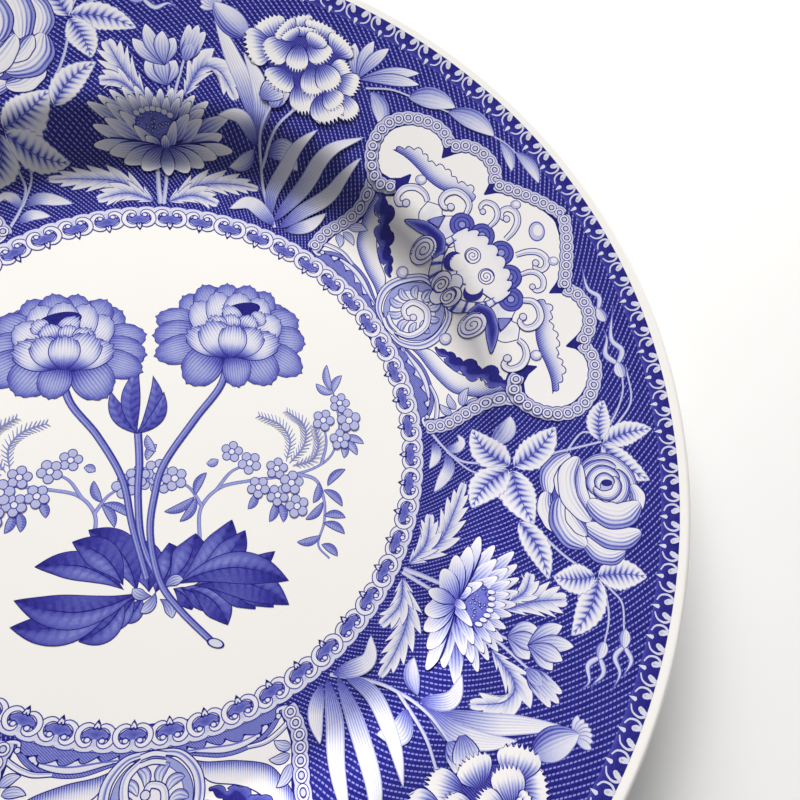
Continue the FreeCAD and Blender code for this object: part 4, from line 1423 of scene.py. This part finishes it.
def peony(sheet, at, seed=21):
    """A full peony seen from below its rim: loose outer petals, a cup, and a dark hollow."""
    draw = random.Random(seed)
    far = lambda s, t: 0.80 - 0.52 * np.sin(np.pi * np.clip(s, 0, 1) * 0.82) ** 1.3 + 0.2 * abs(t) ** 3
    near = lambda s, t: 0.74 - 0.68 * np.sin(np.pi * np.clip(s, 0, 1) * 0.8) ** 1.2 + 0.2 * abs(t) ** 3
    loose = dict(neck=0.45, dome=0.2, ruffle=0.05, frills=4, columns=15, cell=0.6, lines=6, outline=0.9,
                 belly=0.6)
    outer = [((10, 33), (2.2, 40.6), 8.6), ((12, 34), (7.2, 44.2), 8.4), ((21, 33), (28.4, 39.2), 8.4),
             ((14, 35), (13.4, 45.0), 7.6), ((19, 34), (25.0, 42.8), 8.2), ((17, 35), (19.4, 44.8), 8.0),
             ((8, 32), (-3.6, 35.4), 7.6), ((22, 32), (32.4, 35.4), 9.0), ((23, 30), (34.0, 28.4), 9.0),
             ((9, 30), (-4.2, 29.4), 8.2), ((9.5, 28.6), (-3.4, 24.2), 7.4), ((22, 28), (33.2, 20.8), 8.6),
             ((19, 27.4), (25.0, 17.4), 9.4), ((12, 27), (4.4, 17.6), 9.2), ((16, 26.4), (17.8, 16.8), 7.4)]
    for root, tip, width in outer:
        sheet.petal(at(root), at(tip), width * draw.uniform(0.95, 1.05), tone=far,
                    curl=draw.uniform(-0.08, 0.08), hatching=lambda s, t: 0.24 * (1 - s) ** 0.6, **loose)
    dome = [((12, 30), (5.4, 39.4), 8.0), ((14, 31), (10.6, 42.6), 7.6), ((18, 31), (23.0, 41.4), 8.0),
            ((19.5, 30), (27.4, 35.6), 8.0), ((16, 32), (16.8, 42.8), 7.6)]
    for root, tip, width in dome:
        sheet.petal(at(root), at(tip), width, tone=near, hatching=lambda s, t: 0.22 * (1 - s) ** 0.6, **loose)
    sheet.dot(at((17.2, 37.4)), 5.0, sides=26, squash=0.42, tilt=0.28, tone=0.94, outline=1.0)
    ragged = [((17.5, 33.5), (12.4, 39.0), 4.6), ((20, 34), (23.4, 37.2), 4.6), ((18, 32), (20.4, 36.6), 5.2),
              ((15, 32), (14.6, 36.8), 5.0), ((13, 31), (9.6, 36.0), 5.2)]
    for root, tip, width in ragged:
        sheet.petal(at(root), at(tip), width, ruffle=0.14, frills=4, columns=15, cell=0.5, tone=near, lines=4,
                    hatching=0.24, outline=0.9)
    cup = [((16.8, 25.4), (27.4, 30.4), 7.4), ((13.4, 25.4), (3.8, 31.8), 6.6),
           ((16.2, 25), (22.4, 32.8), 7.0),
           ((14.2, 24.8), (8.6, 34.4), 8.2), ((15.2, 24.6), (15.6, 33.8), 7.2)]
    for root, tip, width in cup:
        sheet.petal(at(root), at(tip), width, ruffle=0.08, frills=4, columns=17, cell=0.5, tone=near, lines=5,
                    dome=0.16, hatching=lambda s, t: 0.26 * abs(2 * s - 0.9), outline=0.9, neck=0.25)


def dark_leaf(sheet, at):
    """A deep blue leaf cut into long pointed lobes."""
    lobes = [((1.6, -30.6), (2.9, -21.0), 5.6), ((3.0, -30.4), (8.8, -19.0), 7.4),
             ((8.4, -29.6), (27.4, -23.8), 5.6),
             ((5.6, -30.0), (17.0, -16.0), 7.0), ((8.6, -28.6), (20.2, -18.6), 6.0),
             ((4.4, -31.4), (8.8, -36.4), 3.8),
             ((6.0, -31.4), (13.2, -37.4), 4.4), ((8.0, -31.6), (17.0, -40.2), 5.6),
             ((12, -31.8), (23.2, -37.0), 5.0),
             ((15, -32), (27.4, -36.8), 5.0), ((8.6, -31.0), (31.0, -36.4), 6.8),
             ((5.0, -30.4), (30.8, -30.8), 6.6)]
    for count, (root, tip, width) in enumerate(lobes):
        path = bent(at(root), at(tip), 0.13 * (1 if tip[1] < -30 else -1), 5)
        sheet.ribbon(
            path, leaf_width(width * 1.14, 0.56, 0.95), cell=0.6, columns=11, veins=2.0, slant=0.7,
            outline=1.0,
            tone=lambda s, t: 0.94 - 0.3 * np.sin(np.pi * s**0.8) - 0.2 * np.sin(np.pi * abs(t)) * (t > 0),
            hatching=lambda s, t: 0.10 * (1 - abs(t)),
        )
        sheet.stroke_line(path[:-1], 0.28, 0.95)
    for root, tip in (((2.4, -31.2), (6.6, -29.4)), ((0.6, -32.0), (-2.4, -36.4))):
        sheet.ribbon(bent(at(root), at(tip), 0.15, 5), leaf_width(2.6, 0.6), cell=0.5, columns=7,
                     tone=fade(0.5, 0.12), lines=2, hatching=0.2, outline=0.9)


def blossom(sheet, middle, radius=2.6, start=0.0):
    for k in range(5):
        turn = start + 2 * math.pi * k / 5
        way = np.array([math.cos(turn), math.sin(turn)])
        sheet.dot(middle + way * radius * 0.62, radius * 0.44, sides=14, tone=0.24, outline=0.72)
    sheet.dot(middle, radius * 0.34, sides=12, tone=0.04, outline=0.8)


def small_leaf(sheet, root, tip, width=2.1, tone=0.24):
    sheet.ribbon(bent(root, tip, 0.12, 5), leaf_width(width, 0.5), cell=0.5, columns=7, veins=0.6, slant=0.6,
                 tone=lambda s, t: tone + 0.14 * (t > 0), hatching=0.12, outline=0.75)


def fern(sheet, points, barb=2.0):
    """A frond: a fine rib with close barbs on both sides."""
    sheet.stroke_line(points, 0.45, 0.4)
    spine = smooth(points, max(8, int(length_of(points) / 0.85)))
    heading = np.gradient(spine, axis=0)
    heading /= np.linalg.norm(heading, axis=1)[:, None]
    count = len(spine)
    for k in range(1, count):
        size = barb * math.sin(math.pi * (0.12 + 0.8 * k / count)) ** 0.6
        for side in (-1, 1):
            out = np.array([-heading[k][1], heading[k][0]]) * side
            tip = spine[k] + (out * 0.8 + heading[k] * 0.75) * size
            sheet.ribbon([spine[k], tip], lambda s: 0.3 - 0.18 * s, tone=0.42, columns=2, cell=0.6)


def blossom_branch(sheet, at):
    """A fine branch of small flowers, leaves and ferns."""
    twigs = [
        [(9.7, -20.5), (9.6, -13.3), (13.7, -8.4), (20.7, -6.7), (30.7, -5.4), (37.3, -3.3), (41.3, 0.3),
         (42.9, 7.3), (41.3, 16.3)],
        [(32.4, -5.0), (37.2, -6.8), (39.2, -12), (39.2, -17.3), (37.8, -22.6), (40.6, -26)],
        [(13.0, -8.9), (16.4, -4.4), (21.2, -2.4)], [(9.8, -12.6), (7.0, -8.4), (3.4, -6.2)],
        [(38.4, -2.6), (39.6, 2.6), (38.9, 7.6)],
    ]
    for twig in twigs:
        sheet.ribbon(at(twig), lambda s: 0.95 - 0.5 * s, tone=lambda s, t: 0.34 + 0.12 * t, cell=0.7,
                     columns=5, outline=0.5)
    for curve in ([(29.6, -2.0), (30.4, 3.4), (27.8, 7.4), (22.8, 9.6)],
                  [(30.4, -2.4), (34.0, 2.4), (33.8, 7.4),
                  (29.6, 10.8)], [(31.2, -3.0), (36.0, -1.4), (37.6, 2.6), (36.6, 6.8)]):
        fern(sheet, at(curve))
    leaves = [((41.3, 16.3), (39.6, 23.6)), ((41.3, 16.0), (43.6, 20.8)), ((41.2, 15.8), (36.8, 18.4)),
              ((43.8, 4.0), (49.4, 2.6)), ((43.6, 3.4), (44.2, -1.2)), ((44.0, 3.4), (47.6, -0.4)),
              ((40.0, -8.2), (44.6, -4.0)), ((37.8, -7.4), (36.4, -12.4)), ((39.0, -9.2), (43.8, -13.4)),
              ((38.8, -12.2), (34.6, -16.4)), ((39.2, -15.6), (44.6, -16.2)), ((39.0, -17.4), (44.4, -20.2)),
              ((38.4, -20.4), (32.6, -21.8)), ((38.6, -22.6), (42.6, -25.6)), ((13.2, -1.4), (10.4, -2.4)),
              ((8.2, -10.0), (10.6, -4.6)), ((8.0, -10.4), (1.4, -13.8)), ((8.4, -10.6), (5.0, -16.2)),
              ((22.4, -9.6), (20.6, -13.6)), ((27.0, -12.0), (25.8, -16.8)), ((28.0, -12.2), (29.2, -17.0)),
              ((-1.4, 0.4), (-3.6, 4.6))]
    for root, tip in leaves:
        small_leaf(sheet, at(root), at(tip), 2.1, 0.24 if root[1] > -7 else 0.34)
    flowers = [(16.3, 0.5), (20.7, -2.3), (27.3, -3.7), (23.0, -8.3), (27.7, -10.3), (31.0, -7.3),
               (32.5, -13.1),
               (38.8, 8.7), (43.0, 13.3), (45.5, 8.7), (43.2, 3.7), (-1.0, -4.0), (-5.0, -5.3), (3.3, -6.0)]
    draw = random.Random(31)
    for place in flowers:
        blossom(sheet, np.ravel(at(place)), 2.9 * draw.uniform(0.88, 1.06), draw.uniform(0, 1.2))


def flower_stem(sheet, points, width=1.7):
    sheet.ribbon(points, lambda s: width * (1.1 - 0.2 * s), cell=0.7, columns=9, lines=1.5, outline=0.8,
                 tone=lambda s, t: 0.34 + 0.46 * np.clip(t, 0, 1) ** 1.3, hatching=0.18)


def centre_bouquet(material):
    """Two peonies on crossed stems over dark cut leaves, with fine branches of blossom."""
    as_drawn = lambda points: np.asarray(points, float)
    left_flower = lambda points: (np.asarray(points, float) * 0.96) * (-1, 1) + (-8.8, -3.4)
    left_leaf = lambda points: (np.asarray(points, float) - (1.6, 0)) * (-1, 1) + (0.6, -1.6)
    left_branch = lambda points: (np.asarray(points, float) * 0.94) * (-1, 1) + (-4.6, -2.0)
    branches = [Print(f"blossom_branch_{side}", material) for side in ("left", "right")]
    branches[1].top = branches[0].top
    blossom_branch(branches[0], left_branch)
    blossom_branch(branches[1], as_drawn)

    leaves = Print("bouquet_leaves", material, under=branches[0])
    dark_leaf(leaves, left_leaf)
    dark_leaf(leaves, as_drawn)
    flower_stem(leaves, as_drawn([(-5.8, 6.0), (-4.9, -2.0), (-4.6, -10.7), (-2.9, -21.0), (2.0, -30.7)]))
    for tip, width in (((-12.6, 15.4), 3.6), ((-6.6, 21.4), 4.4), ((-3.2, 19.4), 3.8), ((-0.4, 15.4), 3.2)):
        leaves.ribbon(
            bent(as_drawn((-5.9, 4.8)), as_drawn(tip), 0.1 if tip[0] < -6 else -0.16, 5),
            leaf_width(width, 0.5, 1.1), cell=0.6, columns=9, veins=2.0, slant=0.7, hatching=0.1, outline=1.0,
            tone=lambda s, t: 0.74 - 0.2 * s - 0.12 * (t > 0),
        )

    left = Print("peony_left", material, under=leaves)
    flower_stem(left, as_drawn([(-24.2, 21.5), (-21.4, 12.5), (-14.6, 4.2), (-8.4, -6.0), (-5.4, -17),
                                (-1.4, -29)]))
    peony(left, left_flower, 22)
    right = Print("peony_right", material, under=leaves)
    flower_stem(right, as_drawn([(14.6, 25.0), (12.9, 17.2), (7.3, 8.7), (0.9, -2), (-0.9, -9.3),
                                 (-1.4, -18.7), (1.3, -29.3), (6, -36), (13.8, -43.8)]))
    right.dot(as_drawn((14.4, -44.0)), 2.1, sides=18, squash=0.5, tilt=-0.35, tone=0.12, outline=1.0)
    peony(right, as_drawn)
    return [part.make("centre_bouquet_print", "pale_print") for part in (*branches, leaves, left, right)]


# --- the whole plate ------------------------------------------------------------------------------

engraved = engraved_print()
twill = twill_print()
pieces = make_china()
pieces.append(well_scroll_border(engraved))
pieces.append(edge_band(engraved))
for count in range(REPEATS):
    middle = PANEL_BEARING + count * SHARE
    which = count + 1
    pieces.append(
        twill_ground(f"panel_twill_{which}", f"panel_print_{which}", middle - PANEL_SPREAD / 2, PANEL_SPREAD,
                     twill)
    )
    pieces.append(
        twill_ground(f"spray_twill_{which}", f"spray_print_{which}", middle + PANEL_SPREAD / 2,
                     SHARE - PANEL_SPREAD, twill)
    )
    pieces += rim_spray(which, count * SHARE, engraved)
    pieces += rim_panel(which, middle, engraved)
pieces += centre_bouquet(engraved)
for piece in pieces:
    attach(piece, "root")


# --- floor, lights and camera ---------------------------------------------------------------------


FLOOR_R, FLOOR_GAP, FLOOR_DEPTH = 900.0, 0.02, 5.0
WORLD_STRENGTH = 0.15
WINDOW_POWER, FILL_POWER = 35.0, 3.0
CAMERA_LENS = 24.35
CAMERA_PLACE = (0.0301, -0.0134, 0.1458)
CAMERA_RIGHT = (0.980, -0.019, 0.200)
CAMERA_BACK = (-0.200, -0.191, 0.961)


def make_floor():
    section = [(0.0, -FLOOR_GAP), (FLOOR_R, -FLOOR_GAP), (FLOOR_R, -FLOOR_DEPTH), (0.0, -FLOOR_DEPTH)]
    floor = turned("floor", section, pale_floor(), steps=64)


def soft_light(name, place, aim, size, power, colour=(1, 1, 1)):
    light = bpy.data.lights.new(name, "AREA")
    light.shape = "RECTANGLE"
    light.size, light.size_y = size
    light.energy = power
    light.color = colour
    holder = bpy.data.objects.new(name, light)
    holder.location = place
    holder.rotation_euler = (Vector(aim) - Vector(place)).to_track_quat("-Z", "Y").to_euler()
    bpy.context.collection.objects.link(holder)
    return holder


def light_room():
    bpy.context.scene.view_settings.view_transform = "Standard"
    world = bpy.data.worlds.new("studio")
    world.use_nodes = True
    world.node_tree.nodes["Background"].inputs["Color"].default_value = (1.0, 1.0, 1.0, 1)
    world.node_tree.nodes["Background"].inputs["Strength"].default_value = WORLD_STRENGTH
    bpy.context.scene.world = world
    warm = (1.0, 0.985, 0.96)
    window = soft_light("window", (-0.22, 1.16, 0.62), (0.02, 0.02, 0), (0.9, 0.45), WINDOW_POWER, warm)
    window.visible_glossy = False
    soft_light("fill", (0.9, -0.7, 0.8), (0, 0, 0), (0.9, 0.9), FILL_POWER)


def place_camera():
    """Held close over the plate, a little off its centre, looking down and leaning towards +X and +Y."""
    camera = bpy.data.cameras.new("camera")
    camera.sensor_width = 36.0
    camera.lens = CAMERA_LENS
    camera.clip_start = 0.005
    holder = bpy.data.objects.new("camera", camera)
    right = Vector(CAMERA_RIGHT)
    back = Vector(CAMERA_BACK).normalized()
    up = back.cross(right).normalized()
    right = up.cross(back)
    holder.matrix_world = Matrix((
        *((right[axis], up[axis], back[axis], CAMERA_PLACE[axis]) for axis in range(3)),
        (0, 0, 0, 1),
    ))
    bpy.context.collection.objects.link(holder)
    bpy.context.scene.camera = holder


make_floor()
light_room()
place_camera()
